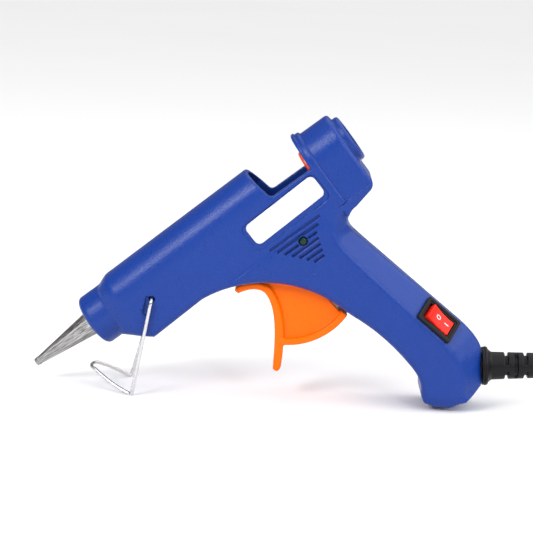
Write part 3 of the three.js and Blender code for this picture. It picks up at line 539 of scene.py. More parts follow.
# ------------------------------------------------------------------ body shells
HALF = 11.4
WALL = 2.0
NOSE_R = 9.2
SHOULDER = (37.5, 11.5)  # where the barrel reaches its full height
TAPER = math.tan(1.06 * DEG)  # how fast the barrel's top rises from there
BELLY = (56.2, -56.4)  # the middle of the arc under the barrel
BELLY_END = math.degrees(math.atan2(-46 - BELLY[1], 97.2 - BELLY[0]))
BOSS_END = 132.3
OUTLINE = np.array(
    [(31.2, NOSE_R), SHOULDER, (130, SHOULDER[1] + (130 - SHOULDER[0]) * TAPER)]
    + arc(126.6, -13.9, 3.4, 0, -79, 8) + [(120.8, -18.8)]
    + arc(120.6, -24.8, 6, 95, 195)
    + bezier((125.05, -69.6), (127.8, -79.5), (126.2, -84.4))
    + [(119, -94.4), (105, -95.6), (100.3, -91.2), (98.8, -86.8)]
    + bezier((101.4, -83.2), (103.9, -80.4), (103.9, -75.5))
    + bezier((103.9, -75.5), (103.4, -61), (98.2, -48.8))[1:]
    + arc(*BELLY, 42.3, BELLY_END, 84, 44)
    + [(40, -15.3), (31.2, -8.4)]
)
# Behind the line where the handle's side breaks into the sloped face at its back.
BEHIND = np.array([
    (116.0, -12.5), (111.9, -16.6), (109.6, -21.0), (108.9, -25.0), (109.2, -29.4), (110.68, -37.92),
    (112.9, -49.6), (115.2, -60.9), (117.6, -73.2), (118.1, -77.6), (117.6, -82.2), (116.4, -86.0),
    (114.4, -89.4), (112.0, -92.0), (112, -130), (190, -130), (190, -12.5),
])
WINDOW_SILL = 0.1
WINDOW_BACK = 115.9
WINDOW = np.array(
    [(97.2, 40), (97.2, 11.5), (99.3, 1.3)]
    + bezier((99.35, 1.3), (99.6, 0.1), (101.2, WINDOW_SILL), n=8)
    + [(WINDOW_BACK, WINDOW_SILL), (WINDOW_BACK, 40)]
)
SLOT = np.array([(68, -26), (71, -12), (92, -20), (104, -44), (102.6, -51.5), (90, -56)])
SCREWS = {
    "front": (41, -11.2), "middle": (68, -11.2), "head": (125.2, -13), "neck": (107.6, -36),
    "foot": (107.2, -86.6),
}
POST_R = 3.2
POST_GAP = 0.8  # from a post's end to the shell's outside
LED = (99.8, -17.75)
PIVOT = (88.6, -24.6)
STAND = (47.4, -4.1)
LABEL_TURN = 2.4 * DEG
# Bores along the stick's axis: radius, start, end, rounding of the rim.
BORES = (
    (4.75, -math.inf, 30, 0.4), (6.4, 27.5, 66, 0), (4.4, 118, math.inf, 0.5),
    (5.8, 130.5, math.inf, 0.25), (6.0, 118, 129.2, 0),
)


def arch(y, z, half, centre):
    """A round top on straight sides."""
    side = np.abs(y)
    return np.where(z > centre, np.hypot(side, z - centre), side) - half


def side_fields(x, z, *outlines):
    """inside() for each outline, worked out once for each place in the X-Z plane."""
    if np.ndim(x) == 3:
        shape = (x.shape[0], z.shape[2])
        flat_x, flat_z = np.broadcast_to(x[:, 0, :], shape), np.broadcast_to(z[0], shape)
        return [inside(flat_x, flat_z, o)[:, None, :] for o in outlines]
    return [inside(x, z, o) for o in outlines]


BOOT_ROOT = (122.3, -89.6)
BOOT_DROP = 35.5 * DEG


def along_boot(x, z):
    """Distance along the lead from the handle, and up from its middle."""
    return turned(x - BOOT_ROOT[0], z - BOOT_ROOT[1], -BOOT_DROP)


SWITCH = Matrix((
    (0.68695, -0.21540, 0.69405, 120.08037),
    (0.70668, -0.02468, -0.70711, -7.65),
    (0.16944, 0.97621, 0.13526, -66.5505),
    (0, 0, 0, 1),
))


def in_switch(x, y, z):
    inverse = np.array(SWITCH.inverted())
    return [inverse[i, 0] * x + inverse[i, 1] * y + inverse[i, 2] * z + inverse[i, 3] for i in range(3)]


def whole_body(x, y, z):
    """The outside of the gun as if nothing were cut in it, and the same with its stick bay."""
    side = np.abs(y)
    profile, behind, window = side_fields(x, z, OUTLINE, BEHIND, WINDOW)
    behind = -behind
    half = HALF - (HALF - 9.0) * (1 - step_up(x, 30.6, 38.4))
    centre = 0.1 + (x - SHOULDER[0]) * TAPER
    edge = 2.8 - 2.0 * step_up(behind, -3, 0.5) * step_up(-z, 14, 18)
    main = fillet(arch(y, z, half, centre), profile, edge)
    slope = (side - HALF + behind * step_up(-z, 14.5, 25)) * math.sqrt(0.5)
    main = fillet(main, slope, 0.9)
    main = np.maximum(main, -np.maximum(117 - x, -15.6 - z))
    floor = -(x * math.sin(PITCH) + z * math.cos(PITCH) + SHIFT[2])
    main = fillet(main, floor, 6.0)
    lip = fillet(arch(y, z, HALF, 0.2), between(x, WINDOW_BACK, 118.9), 0.7)
    lip = np.maximum(lip, -15.4 - z)
    block = fillet(arch(y, z, 10.7, 0), profile, 1.1)
    block = np.maximum(block, np.maximum(116.5 - x, -20 - z))
    nose = fillet(np.hypot(y, z) - NOSE_R, between(x, 24.4, 36), 1.8)
    boss = fillet(np.hypot(y, z) - 8.35, x - BOSS_END, 0.9)
    boss = np.maximum(boss, 124 - x)
    rest = weld(np.minimum(lip, weld(block, boss, 0.5)), nose, 0.2)
    full = weld(main, rest, 0.3)
    open_bay = weld(fillet(main, -window, 0.65), rest, 0.3)
    return full, open_bay


def capsule(along, beside, start, end, radius):
    return np.hypot(np.maximum(between(along, start, end), 0), beside) - radius


def leg_groove(x, z):
    """A short groove beside the stand's hole, along the wire's leg."""
    dx, dz = x - 46.9, z + 3.6
    return capsule(dx * -0.748 + dz * -0.664, dx * 0.664 - dz * 0.748 + 0.5, 0, 5.2, 0.85)


def switch_side(shell, x, y, z):
    """The grille, the lamp's rim, the label's recess and the switch's opening."""
    for row in range(7):
        end = 108.8 - (2 * row if row < 3 else 4 + 0.62 * (row - 2))
        groove = capsule(x, z - (-14 - 1.92 * row), 89.4 + 1.62 * row, end, 0.42)
        shell = cut(shell, np.maximum(groove, y + 10.3), 0.2)
    lamp = np.hypot(x - LED[0], z - LED[1])
    shell = np.minimum(shell, fillet(lamp - 1.95, between(y, -11.4, -8), 0.2))
    shell = cut(shell, lamp - 1.5, 0.12)
    a, b = turned(x - 100.55, z + 6.65, LABEL_TURN)
    plate = fillet(np.abs(a) - 15.3, np.abs(b) - 5.05, 2.2)
    shell = cut(shell, np.maximum(plate, y + 10.75), 0.15)
    dimple = np.hypot(np.hypot(x - 96.3, z + 28.5), y + 11.9) - 0.8
    shell = cut(shell, dimple, 0.1)
    sa, sb, sc = in_switch(x, y, z)
    pocket = np.maximum(np.maximum(np.abs(sa) - 4.45, np.abs(sb) - 6.7), -9.5 - sc)
    return cut(shell, pocket, 0.1)


def screw_side(shell, x, y, z):
    for sx, sz in SCREWS.values():
        around = np.hypot(x - sx, z - sz)
        shell = cut(shell, np.maximum(around - 2.7, 8.8 - y), 0.25)
        shell = np.maximum(shell, -(around - 1.5))
    return shell


def shell_field(side):
    def field(x, y, z):
        full, shell = whole_body(x, y, z)
        shell = np.maximum(shell, -(full + WALL))
        hub = np.hypot(x - PIVOT[0], z - PIVOT[1])
        for sx, sz in SCREWS.values():
            post = np.maximum(np.hypot(x - sx, z - sz) - POST_R, full + POST_GAP)
            shell = np.minimum(shell, post)
        boss = np.maximum(hub - POST_R, np.maximum(full + POST_GAP, 7.2 - np.abs(y)))
        shell = np.minimum(shell, boss)
        slot, = side_fields(x, z, SLOT)
        shell = cut(shell, np.maximum(slot, np.abs(y) - 7.1), 0.35)
        for radius, start, end, rim in BORES:
            shell = cut(shell, np.maximum(np.hypot(y, z) - radius, between(x, start, end)), rim)
        shell = cut(shell, np.hypot(x - STAND[0], z - STAND[1]) - 1.0, 0.15)
        shell = np.maximum(shell, -np.maximum(hub - 1.6, np.abs(y) - 9.8))
        out, up = along_boot(x, z)
        around = np.hypot(y, up)
        shell = cut(shell, np.maximum(around - 4.6, between(out, -12, 14)), 0.2)
        shell = cut(shell, np.maximum(around - 9.0, between(out, -0.02, 14)), 0.25)
        shell = cut(shell, np.maximum(leg_groove(x, z), 10.2 - np.abs(y)), 0.2)
        shell = (switch_side if side < 0 else screw_side)(shell, x, y, z)
        return fillet(shell, side * -y + 0.04, 0.28)

    return field


VOXEL = 0.3
for side, name in ((-1, "left"), (1, "right")):
    low = (23.6, -12.4 if side < 0 else -0.6, -99)
    high = (133.2, 0.6 if side < 0 else 12.4, 14.2)
    field_object("case_" + name, shell_field(side), low, high, VOXEL, BLUE, ["shell_" + name], 0.02)


# ------------------------------------------------------------------ trigger
FORK_LEAN = 9 * DEG


def about_pivot(degrees, radius):
    return PIVOT[0] + radius * math.cos(degrees * DEG), PIVOT[1] + radius * math.sin(degrees * DEG)


FINGER_PLATE = np.array(
    bezier((71.2, -20.2), (75.2, -21), (78.6, -23), (78.5, -26.2))
    + bezier((78.5, -26.2), (78.4, -32), (72.6, -39.4), (65.2, -48))[1:]
    + bezier((65.2, -48), (65.4, -50.6), (67.9, -49), n=6)[1:]
    + bezier((67.9, -49), (73.6, -43.2), (80.9, -35), (81.1, -26))[1:]
    + bezier((81.1, -26), (81.2, -22.4), (77.6, -19.4), (72.2, -17.9))[1:]
    + bezier((72.2, -17.9), (70, -18.4), (71.2, -20.2), n=6)[1:-1]
)
FLANGE_ARC = np.array(arc(*PIVOT, 24.4, -131, -71, 30) + arc(*PIVOT, 22.1, -71, -131, 30))
WEB = np.array(
    [about_pivot(-129, 23.4)] + arc(*PIVOT, 23.4, -129, -73.5, 26)
    + [(94.4, -38), (92, -26.6), (88.6, -21.2)] + bezier((88.6, -21.2), (82, -18.6), (76.6, -19.6))
    + [(80, -24)] + bezier((80, -24), (79.4, -33), (75, -39), (71.2, -43.4))[1:]
)


def trigger_field(x, y, z):
    plate, flange, web = side_fields(x, z, FINGER_PLATE, FLANGE_ARC, WEB)
    side = np.abs(y)
    plate = fillet(plate, side - 6.5, 0.9)
    flange = fillet(flange, side - 6.5, 0.55)
    web = fillet(web, side - 5.0, 0.5)
    solid = weld(weld(plate, web, 0.9), flange, 0.7)
    dx, dz = x - PIVOT[0], z - PIVOT[1]
    off, up = turned(dx, dz, -FORK_LEAN)
    arm = np.maximum(np.abs(off) - 3.3 + 0.015 * up, between(up, 0, 20))
    arm = fillet(arm, side - 3, 0.4)
    arm = cut(arm, np.maximum(np.abs(off) - 1.4, 14.6 - up), 0.2)
    hub = np.hypot(dx, dz)
    solid = np.minimum(solid, arm)
    solid = np.minimum(solid, fillet(hub - 3.4, side - 6.2, 0.3))
    return cut(solid, hub - 1.55, 0.2)


field_object("lever", trigger_field, (64, -7, -51.5), (100, 7, -3.4), 0.24, ORANGE, ["trigger"], 0.01,
             body="trigger_lever")


# ------------------------------------------------------------------ nozzle, heater and stick guide
lathe("tip", [
    (0, 0.75, 0.05), (0, 1.25, 0.15), (1.35, 1.5, 0.15), (1.6, 1.38, 0.1), (23.6, 4.2, 1.5),
    (29.4, 4.4, 0), (29.4, 3, 0), (36, 3, 0.2), (36, 2, 0), (26, 2, 0),
], NOZZLE, ["nozzle"], 144, steps=6)
lathe("insulator", [
    (27.8, 4.75, 0.2), (27.8, 6.1, 0.2), (29.6, 6.1, 0.2), (29.6, 4.75, 0.2),
], BLACK, ["nose_insulator"])
lathe("guide", [
    (120.4, 4.2, 0.5), (120.4, 5.6, 0.2), (128.8, 5.6, 0.2), (128.8, 4.2, 0.3),
], BLACK, ["inlet_guide"])
lathe("ring", [
    (114.4, 3.9, 0.6), (114.4, 5.9, 0.9), (119.5, 5.9, 0.2), (119.5, 3.9, 0.2),
], FLAME, ["feeder_ring"], steps=8, body="stick_feeder")
lathe("sleeve", [
    (58.3, 5.2, 0.1), (58.3, 6.1, 0.2), (65.2, 6.1, 0.6), (67, 5, 0.6), (79.4, 5, 0.3),
    (79.4, 3.7, 0.2), (64.9, 3.7, 0), (64.9, 5.2, 0),
], SILICONE, ["stick_sleeve"])
lathe("clip", [
    (60.6, 6.4, 0.15), (60.6, 7.1, 0.15), (62.2, 7.1, 0.15), (62.2, 6.4, 0.15),
], STEEL, ["sleeve_clip"])


# ------------------------------------------------------------------ wire stand
LEG_Y = 12.6
HEEL = 3  # path points given up to each rounded heel


def heel_run(leg, tip, bow):
    """The wire from a leg's heel to the front end: a tight heel, then a slight bow."""
    leg, tip = np.array(leg), np.array(tip)
    start, heel = leg[-1 - HEEL], leg[-1]
    down = heel - start
    away = tip - heel
    leave = heel + away / np.linalg.norm(away) * np.linalg.norm(down)
    turn = [
        (1 - t) ** 2 * start + 2 * t * (1 - t) * heel + t * t * leave
        for t in np.linspace(0, 1, 9)[1:]
    ]
    bow = np.array(bow)
    run = [leave + (tip - leave) * t + bow * 4 * t * (1 - t) for t in np.linspace(0, 1, 34)[1:-1]]
    return np.array(turn + run)


def stand_path():
    x, z = STAND
    near, far, front = (22.4, -26.3), (20.5, -24.74), (15.7, -12.3)
    near_leg = smooth_path([(x, -8.5, z), (x, -LEG_Y, z), (near[0], -LEG_Y, near[1])], 1.7)
    far_leg = smooth_path([(far[0], LEG_Y, far[1]), (x, LEG_Y, z), (x, 8.5, z)], 1.7)
    tip = []
    for k in range(1, 12):
        t = k * 15 * DEG
        lift = 1.5 * math.sin(t)
        tip.append((front[0] + 0.7 - lift, -4.6 * math.cos(t), front[1] - 0.9 + lift))
    near_run = heel_run(near_leg, tip[0], (-0.3, -0.5, -0.5))
    far_run = heel_run(far_leg[::-1], tip[-1], (0.15, 0.4, 0.3))[::-1]
    return np.concatenate([near_leg[:-HEEL], near_run, tip, far_run, far_leg[HEEL:]])


tube("stand", stand_path(), 0.6, WIRE_STEEL, ["stand_wire"], 24, body="stand")


# ------------------------------------------------------------------ switch
def switch_box(x, y, z):
    rim = fillet(fillet(np.abs(x) - 5.05, np.abs(y) - 7.05, 0.6), between(z, 0.06, 1.35), 0.35)
    step = fillet(np.abs(x) - 3.9, np.abs(y) - 5.95, 0.4)
    rim = cut(rim, np.maximum(step, 1.0 - z), 0.15)
    case = np.maximum(fillet(np.abs(x) - 4.15, np.abs(y) - 6.4, 0.3), between(z, -8.2, 0.6))
    well = np.maximum(fillet(np.abs(x) - 3.2, np.abs(y) - 5.35, 0.25), -5.6 - z)
    return cut(np.minimum(rim, case), well, 0.15)


field_object("bezel", switch_box, (-5.6, -7.6, -8.6), (5.6, 7.6, 1.8), 0.16, BLACK, ["switch_housing"],
             0.01, SWITCH)

ROCK = 8 * DEG
ROCKER_AXIS = -1  # the rocker turns about this height in the switch
DISH_R = 18.05
DISH_Z = 20.4  # the middle of the arc that hollows the rocker's face


def rocker_field(x, y, z):
    y, z = turned(y, z - ROCKER_AXIS, ROCK)
    dish = np.hypot(y, z - DISH_Z) - DISH_R
    top = np.maximum(-dish, z - 2.95)
    ends = np.abs(y) - 4.72
    return fillet(np.maximum(np.abs(x) - 2.9, ends), np.maximum(top, -2.2 - z), 0.35)


field_object("rocker_cap", rocker_field, (-3.4, -5.4, -4.4), (3.4, 5.6, 3.2), 0.14, RED,
             ["switch_rocker"], 0.01, SWITCH, "rocker")


def on_rocker(x, y, lift):
    y, z = turned(y, DISH_Z - math.sqrt(DISH_R**2 - y * y) + lift, -ROCK)
    return x, y, z + ROCKER_AXIS


def mark(name, cy, outer, inner, stretch):
    """A printed ring or bar on the rocker's face, a thin closed solid that follows it."""
    points, faces = [], []
    count = 40
    for lift in (0.035, -0.05):
        for across_r, along_r in (outer, inner):
            for k in range(count):
                t = 2 * math.pi * k / count
                end = stretch * np.sign(round(math.sin(t), 6))
                y = cy + along_r * math.sin(t) + end
                points.append(on_rocker(MARK_X + across_r * math.cos(t), y, lift))
    for k in range(count):
        n = (k + 1) % count
        for a, b in ((0, 1), (1, 3), (3, 2), (2, 0)):
            faces.append((a * count + k, a * count + n, b * count + n, b * count + k))
    mesh = mesh_of(name, points, faces, GUN @ SWITCH)
    face_out(mesh)
    finish_object(name, mesh, MARK, (), "rocker")


MARK_X = 0.25
mark("mark_off", 1.1, (0.78, 0.95), (0.5, 0.67), 0)
mark("mark_on", -2.6, (0.16, 0.16), (0.004, 0.004), 0.75)
TERMINAL_Y = 3.4
for name, place in (("terminal_in", -TERMINAL_Y), ("terminal_out", TERMINAL_Y)):
    def blade(x, y, z, place=place):
        flat = np.maximum(np.abs(x) - 1.4, np.abs(z + 10.75) - 2.25)
        return cut(fillet(flat, np.abs(y - place) - 0.25, 0.1), np.hypot(x, z + 11.6) - 0.5)

    field_object(name, blade, (-1.8, place - 0.6, -13.4), (1.8, place + 0.6, -8.1), 0.12, BRASS,
                 ["switch_" + name], 0.01, SWITCH)


# ------------------------------------------------------------------ lamp, board and label
def across(x, y, z):
    """A frame at a place in the gun with its X pointing away, across the gun."""
    return Matrix.Translation((x, y, z)) @ Matrix.Rotation(math.pi / 2, 4, "Z")


lathe("lamp", [
    (-1.3, 0, 0), (-1.25, 0.62, 0.3), (-0.8, 1.18, 0.5), (0, 1.32, 0.2), (3.4, 1.32, 0.2), (3.4, 0, 0),
], LENS, ["led_lamp"], 64, GUN @ across(LED[0], -10.9, LED[1]), steps=8, sharp=60)


def block(name, low, high, radius, look, nodes=()):
    """A box with rounded edges."""
    bm = bmesh.new()
    bmesh.ops.create_cube(bm, size=1)
    size = [h - l for l, h in zip(low, high)]
    middle = [(h + l) / 2 for l, h in zip(low, high)]
    bmesh.ops.scale(bm, vec=size, verts=bm.verts)
    bmesh.ops.translate(bm, vec=middle, verts=bm.verts)
    edges = bm.edges[:] + bm.verts[:]
    bmesh.ops.bevel(bm, geom=edges, offset=radius, segments=4, profile=0.5, affect="EDGES")
    bm.transform(GUN)
    mesh = bpy.data.meshes.new(name)
    bm.to_mesh(mesh)
    bm.free()
    finish_object(name, mesh, look, nodes, "gun_body", sharp=40)


block("board", (95, -7.2, -22.5), (105.4, -6.4, -14.8), 0.12, BOARD, ["led_board"])
lathe("resistor", [
    (-2.7, 0, 0), (-2.7, 0.9, 0.4), (-1.7, 0.9, 0.3), (-1.5, 0.74, 0.3), (1.5, 0.74, 0.3),
    (1.7, 0.9, 0.3), (2.7, 0.9, 0.4), (2.7, 0, 0),
], RESISTOR, ["led_resistor"], 48, GUN @ Matrix.Translation((100.2, -5.1, -20.4)))


def label_field(x, y, z):
    a, b = turned(x - 100.9, z + 5.9, LABEL_TURN)
    plate = fillet(np.abs(a) - 14.2, np.abs(b) - 3.95, 1.9)
    return fillet(plate, between(y, -11.18, -10.72), 0.1)


field_object("label", label_field, (86, -11.5, -11), (116, -10.4, -0.8), 0.16, LABEL, ["label_plate"], 0.01)


# ------------------------------------------------------------------ heater and feeder
lathe("chamber", [
    (29.9, 3.35, 0.2), (29.9, 5.6, 0.4), (58, 5.6, 0.4), (58, 4.9, 0.2), (64.6, 4.9, 0.3),
    (64.6, 3.6, 0.2), (36.4, 3.6, 0), (36.4, 3.35, 0),
], CAST, ["melt_chamber"])
block("heater_pad", (41, -4.2, -6.1), (57, 4.2, -5.2), 0.25, CAST)
CERAMIC = NATURAL, "heater_ceramic"
block("heater", (42.5, -3.6, -8.6), (55.5, 3.6, -6.4), 0.5, CERAMIC, ["heater_block"])


def strap_field(x, y, z):
    def band(radius, foot, bottom):
        legs = np.abs(y) - radius + (radius - foot) * np.clip(z / bottom, 0, 1)
        return np.maximum(np.where(z > 0, np.hypot(y, z) - radius, legs), bottom - z)

    ring = np.maximum(band(6.3, 5, -9.5), -band(5.9, 4.6, -8.9))
    ring = fillet(ring, np.abs(x - 49) - 2.5, 0.12)
    return np.maximum(ring, -np.maximum(np.abs(y) - 1, 4 - z))


field_object("strap", strap_field, (46, -6.8, -10), (52, 6.8, 6.8), 0.16, STEEL, ["heater_strap"], 0.02)
PIN = (PIVOT[0] + 17.6 * math.tan(FORK_LEAN), -7.0)
SLED_X = 118


def sled_field(x, y, z):
    axis, side = np.hypot(y, z), np.abs(y)
    plate = np.abs(x - SLED_X) - 1.3
    sled = fillet(axis - 8.1, plate, 0.3)
    foot = np.maximum(np.maximum(side - 5.6, np.abs(z + 6.55) - 1.55), plate)
    sled = np.minimum(sled, fillet(foot, side - 5.6, 0.2))
    sled = cut(sled, axis - 6.2, 0.2)
    cheek = np.abs(side - 4.6) - 1
    rail = np.maximum(np.abs(z + 7.15) - 0.95, between(x, PIN[0] - 2.6, SLED_X))
    eye = np.maximum(np.abs(x - PIN[0]) - 2.6, np.abs(z + 7.15) - 1.85)
    sled = np.minimum(sled, np.minimum(fillet(rail, cheek, 0.25), fillet(eye, cheek, 0.3)))
    return cut(sled, np.hypot(x - PIN[0], z - PIN[1]) - 1.4, 0.1)


field_object("sled", sled_field, (88, -8.6, -9.6), (120, 8.6, 8.6), 0.2, BLACK, ["feeder_sled"], 0.02,
             body="stick_feeder")


def pin(name, place, half, radius, node, body="gun_body"):
    outline = [(-half, 0, 0), (-half, radius, 0.25), (half, radius, 0.25), (half, 0, 0)]
    lathe(name, outline, STEEL, [node], 48, GUN @ across(place[0], 0, place[1]), body=body)


pin("fork_pin", PIN, 5.8, 1.1, "feeder_pin", "stick_feeder")
pin("pivot_pin", PIVOT, 9.4, 1.25, "trigger_pin")

COIL_TURNS = 7
COIL_STEPS = 24  # in one turn
coil = []
for k in range(COIL_TURNS * COIL_STEPS + 1):
    t = k / COIL_STEPS * 2 * math.pi
    along = 94.3 + 11.5 * k / (COIL_TURNS * COIL_STEPS)
    coil.append((along, 1.9 * math.sin(t), -15.8 + 1.9 * math.cos(t)))
tube("spring", coil, 0.35, WIRE_STEEL, ["trigger_spring"], 12)


# ------------------------------------------------------------------ screws
def screw(name, node, sx, sz):
    def field(x, y, z):
        dx, dz = x - sx, z - sz
        around = np.hypot(dx, dz)
        head = fillet(around - 2.3, between(y, 9.2, 10.6), 0.35)
        turns = y / 0.9 - np.arctan2(dz, dx) / (2 * math.pi)
        thread = around - 1.0 - 0.12 * np.cos(2 * math.pi * turns)
        shank = np.maximum(thread + 0.12, between(y, -7, 9.4))
        wide, tall = np.abs(dx), np.abs(dz)
        cross = np.minimum(np.maximum(wide - 1.3, tall - 0.3), np.maximum(tall - 1.3, wide - 0.3))
        return cut(np.minimum(head, shank), np.maximum(cross, 9.8 - y), 0.06)

    low, high = (sx - 2.7, -7.4, sz - 2.7), (sx + 2.7, 11, sz + 2.7)
    field_object(name, field, low, high, 0.15, STEEL, [node], 0.02)


for name, place in SCREWS.items():
    screw(name + "_screw", "screw_" + name, *place)

# ------------------------------------------------------------------ boot and clamp
BOOT = Matrix.Translation((BOOT_ROOT[0], 0, BOOT_ROOT[1])) @ Matrix.Rotation(BOOT_DROP, 4, "Y")


def boot_field(x, y, z):
    around = np.hypot(y, z)
    collar = fillet(around - 6.5, between(x, 0.3, 2.3), 0.35)
    cone = np.maximum(around - (6.2 - (x - 2.0) * 0.9), between(x, 1.5, 6))
    shank = around - (4.75 - 0.03 * np.maximum(x - 4, 0))
    shank = fillet(shank, between(x, 1, 28), 0.5)
    for k in range(6):
        gap = np.abs(x - 8.7 - 3.25 * k) - 0.55
        bridge = (np.abs(y) if k % 2 else np.abs(z)) - 1.2
        groove = np.maximum(np.maximum(gap, 3.35 - around), -bridge)
        shank = cut(shank, groove, 0.4)
    root = np.maximum(around - 4.2, between(x, -5, 2))
    flange = fillet(around - 5.6, between(x, -5, -3.2), 0.2)
    solid = np.minimum(np.minimum(weld(collar, np.minimum(cone, shank), 0.4), root), flange)
    return np.maximum(solid, 2.62 - around)


field_object("boot", boot_field, (-5.5, -7, -7), (28.6, 7, 7), 0.2, RUBBER, ["cord_boot"], 0.01, BOOT)
CLAMP_X = -9.4


def clamp_field(x, y, z):
    bar = fillet(fillet(np.abs(x - CLAMP_X) - 2, np.abs(y) - 7.4, 0.5), np.abs(z - 2.5) - 2.1, 0.4)
    return cut(bar, np.hypot(y, z) - 2.7, 0.2)


WHITE = NATURAL, "white_plastic"
field_object("clamp", clamp_field, (-12, -8, 0), (-7, 8, 5.2), 0.2, WHITE, ["cord_clamp"], 0.02, BOOT)
for name, y in (("left", -5.2), ("right", 5.2)):
    def clamp_screw(x, y, z, at=y):
        around = np.hypot(x - CLAMP_X, y - at)
        head = fillet(around - 1.9, np.abs(z - 5.6) - 0.7, 0.35)
        return cut(head, np.maximum(np.abs(x - CLAMP_X) - 0.28, 5.8 - z), 0.05)

    field_object(f"screw_{name}_clamp", clamp_screw, (-11.6, y - 2.2, 4.7), (-7.2, y + 2.2, 6.5), 0.14,
                 STEEL, ["clamp_screw_" + name], 0.01, BOOT)


# ------------------------------------------------------------------ wires in the handle
def in_boot(along):
    return tuple(BOOT @ Vector((along, 0, 0)))


def at_terminal(y):
    return tuple(SWITCH @ Vector((0, y, -14.2)))


end = in_boot(-12.6)
t_in, t_out = at_terminal(-TERMINAL_Y), at_terminal(TERMINAL_Y)
LIVE = [
    (end[0], -1.2, end[2]), (end[0] - 2, -1.6, end[2] + 4), (t_in[0] - 1, t_in[1] + 0.4, t_in[2] - 3), t_in,
]
SWITCHED = [
    t_out, (t_out[0] - 2.4, t_out[1] - 0.6, t_out[2] + 5), (108.5, -4, -50), (102, -7.8, -44),
    (100.6, -8.1, -32), (91.8, -8.2, -19), (85, -8.2, -12), (75, -8, -6), (68, -8, -4.2),
    (60.4, -7.2, -6.6), (57.4, -3, -7.6),
]
NEUTRAL = [
    (end[0], 1.2, end[2]), (110, 6.4, -77), (107, 7.6, -62), (102.4, 8, -44), (100.6, 8.1, -32),
    (95.6, 8.2, -20), (86, 8.2, -13), (75, 8, -6), (68, 8, -4.2), (60.4, 7.2, -6.6), (57.4, 3, -7.6),
]
for name, route, look in (
    ("live", LIVE, WIRE_BROWN), ("switched", SWITCHED, WIRE_RED), ("neutral", NEUTRAL, WIRE_BLUE),
):
    tube(name + "_lead", smooth_path(route, 3), 0.75, look, ["wire_" + name], 14)


# ------------------------------------------------------------------ lead, hank, tie and plug
WORLD = GUN.inverted() @ MM  # takes the row's own millimetres into the gun's frame
CORD_R = 2.5
TIE_X = 190
LOOP = {"left": 160, "right": 234, "radius": 15.5, "bottom": 4.1, "layer": 5.05, "turns": 4}
LANDING = 133  # where the lead comes down to the floor
PLUG_BACK = (199, 0, 30.6)
PLUG_TILT = 7 * DEG
PLUG = MM @ Matrix.Translation(PLUG_BACK) @ Matrix.Rotation(PLUG_TILT, 4, "Y")


def settle(x):
    """The loops lie over the tie's strap and come down to the floor on both sides of it."""
    return -1.5 * np.clip((abs(x - TIE_X) - 8) / 35, 0, 1) ** 2


def swing(start, along, end, leaving, count):
    """A smooth bend from one place and direction to another."""
    a, b = np.array(start, float), np.array(end, float)
    reach = np.linalg.norm(b - a)
    u = np.array(along, float) / np.linalg.norm(along) * reach
    v = np.array(leaving, float) / np.linalg.norm(leaving) * reach
    out = []
    for k in range(1, count + 1):
        t = k / count
        place = (2 * t**3 - 3 * t * t + 1) * a + (t**3 - 2 * t * t + t) * u
        out.append(place + (3 * t * t - 2 * t**3) * b + (t**3 - t * t) * v)
    return out


def lead_path():
    """The lead in the row's millimetres: out of the boot, down, round the hank and up to the plug."""
    to_row = MM.inverted() @ GUN
    first, tip = (np.array(to_row @ Vector(in_boot(s))) for s in (-12, 28))
    radius, low, layer = LOOP["radius"], LOOP["bottom"], LOOP["layer"]
    path = [first] + [first + (tip - first) * k / 30 for k in range(1, 31)]

    def lay(x, y, height):
        path.append(np.array((x, y, height + settle(x))))

    path += swing(tip, tip - first, (LANDING, 0, low + settle(LANDING)), (1, 0, 0), 34)
    for x, y, _ in swing((LANDING, 0, 0), (1, 0, 0), (178, -radius, 0), (1, 0, 0), 36):
        lay(x, y, low)
    for turn in range(LOOP["turns"]):
        base = low + layer * turn
        last = turn == LOOP["turns"] - 1
        for x in np.linspace(path[-1][0], LOOP["right"], 40 if turn == 0 else 54)[1:]:
            lay(x, -radius, base)
        for k in range(1, 37):
            t = (-90 + 5 * k) * DEG
            lay(LOOP["right"] + radius * math.cos(t), radius * math.sin(t), base)
        for x in np.linspace(LOOP["right"], LOOP["left"], 54)[1:]:
            lay(x, radius, base)
        for k in range(1, 31 if last else 37):
            t = (90 + 5 * k) * DEG
            climb = layer * float(step_up(k, 0, 18))
            lay(LOOP["left"] + radius * math.cos(t), radius * math.sin(t), base + climb)
    back = np.array(PLUG_BACK, float) + (0.6, 0, -0.07)
    path += swing(path[-1], path[-1] - path[-2], back, (1, 0, -math.tan(PLUG_TILT)), 44)
    return np.array(path)


LEAD = lead_path()
lead = tube("lead", LEAD, CORD_R, PVC, ["cord_run", "cord_hank", "cord_tail"], 24, MM)


def tie_field(x, y, z):
    """A strap round the loops, with its loose end lapped over on top."""
    def band(grow):
        return fillet(np.abs(y) - 18.35 - grow, np.abs(z - 11.8) - 10.55 - grow, 3.0 + grow)

    strap = np.maximum(band(0.8), -band(0))
    strap = fillet(strap, np.abs(x) - 3, 0.25)
    lap = fillet(np.maximum(np.abs(z - 22.95) - 0.33, np.abs(y - 5) - 5.5), np.abs(x) - 2.7, 0.2)
    return np.minimum(strap, lap)


tie = field_object("tie", tie_field, (-3.4, -19.6, 0.1), (3.4, 19.6, 23.6), 0.25, BLACK, ["cord_tie"], 0.02,
                   WORLD @ Matrix.Translation((TIE_X, 0, 0)))

PLUG_SIDE = np.array(
    [(0.02, -4.1)] + bezier((5, -4.5), (9.5, -5), (10.5, -9.8), (15, -11.2))
    + [(32, -12.4), (33.9, -10.8), (33.9, 10.8), (32, 12.4)]
    + bezier((15, 11.2), (10.5, 9.8), (9.5, 5), (5, 4.5)) + [(0.02, 4.1)]
)
PRONG_Y = 9.5


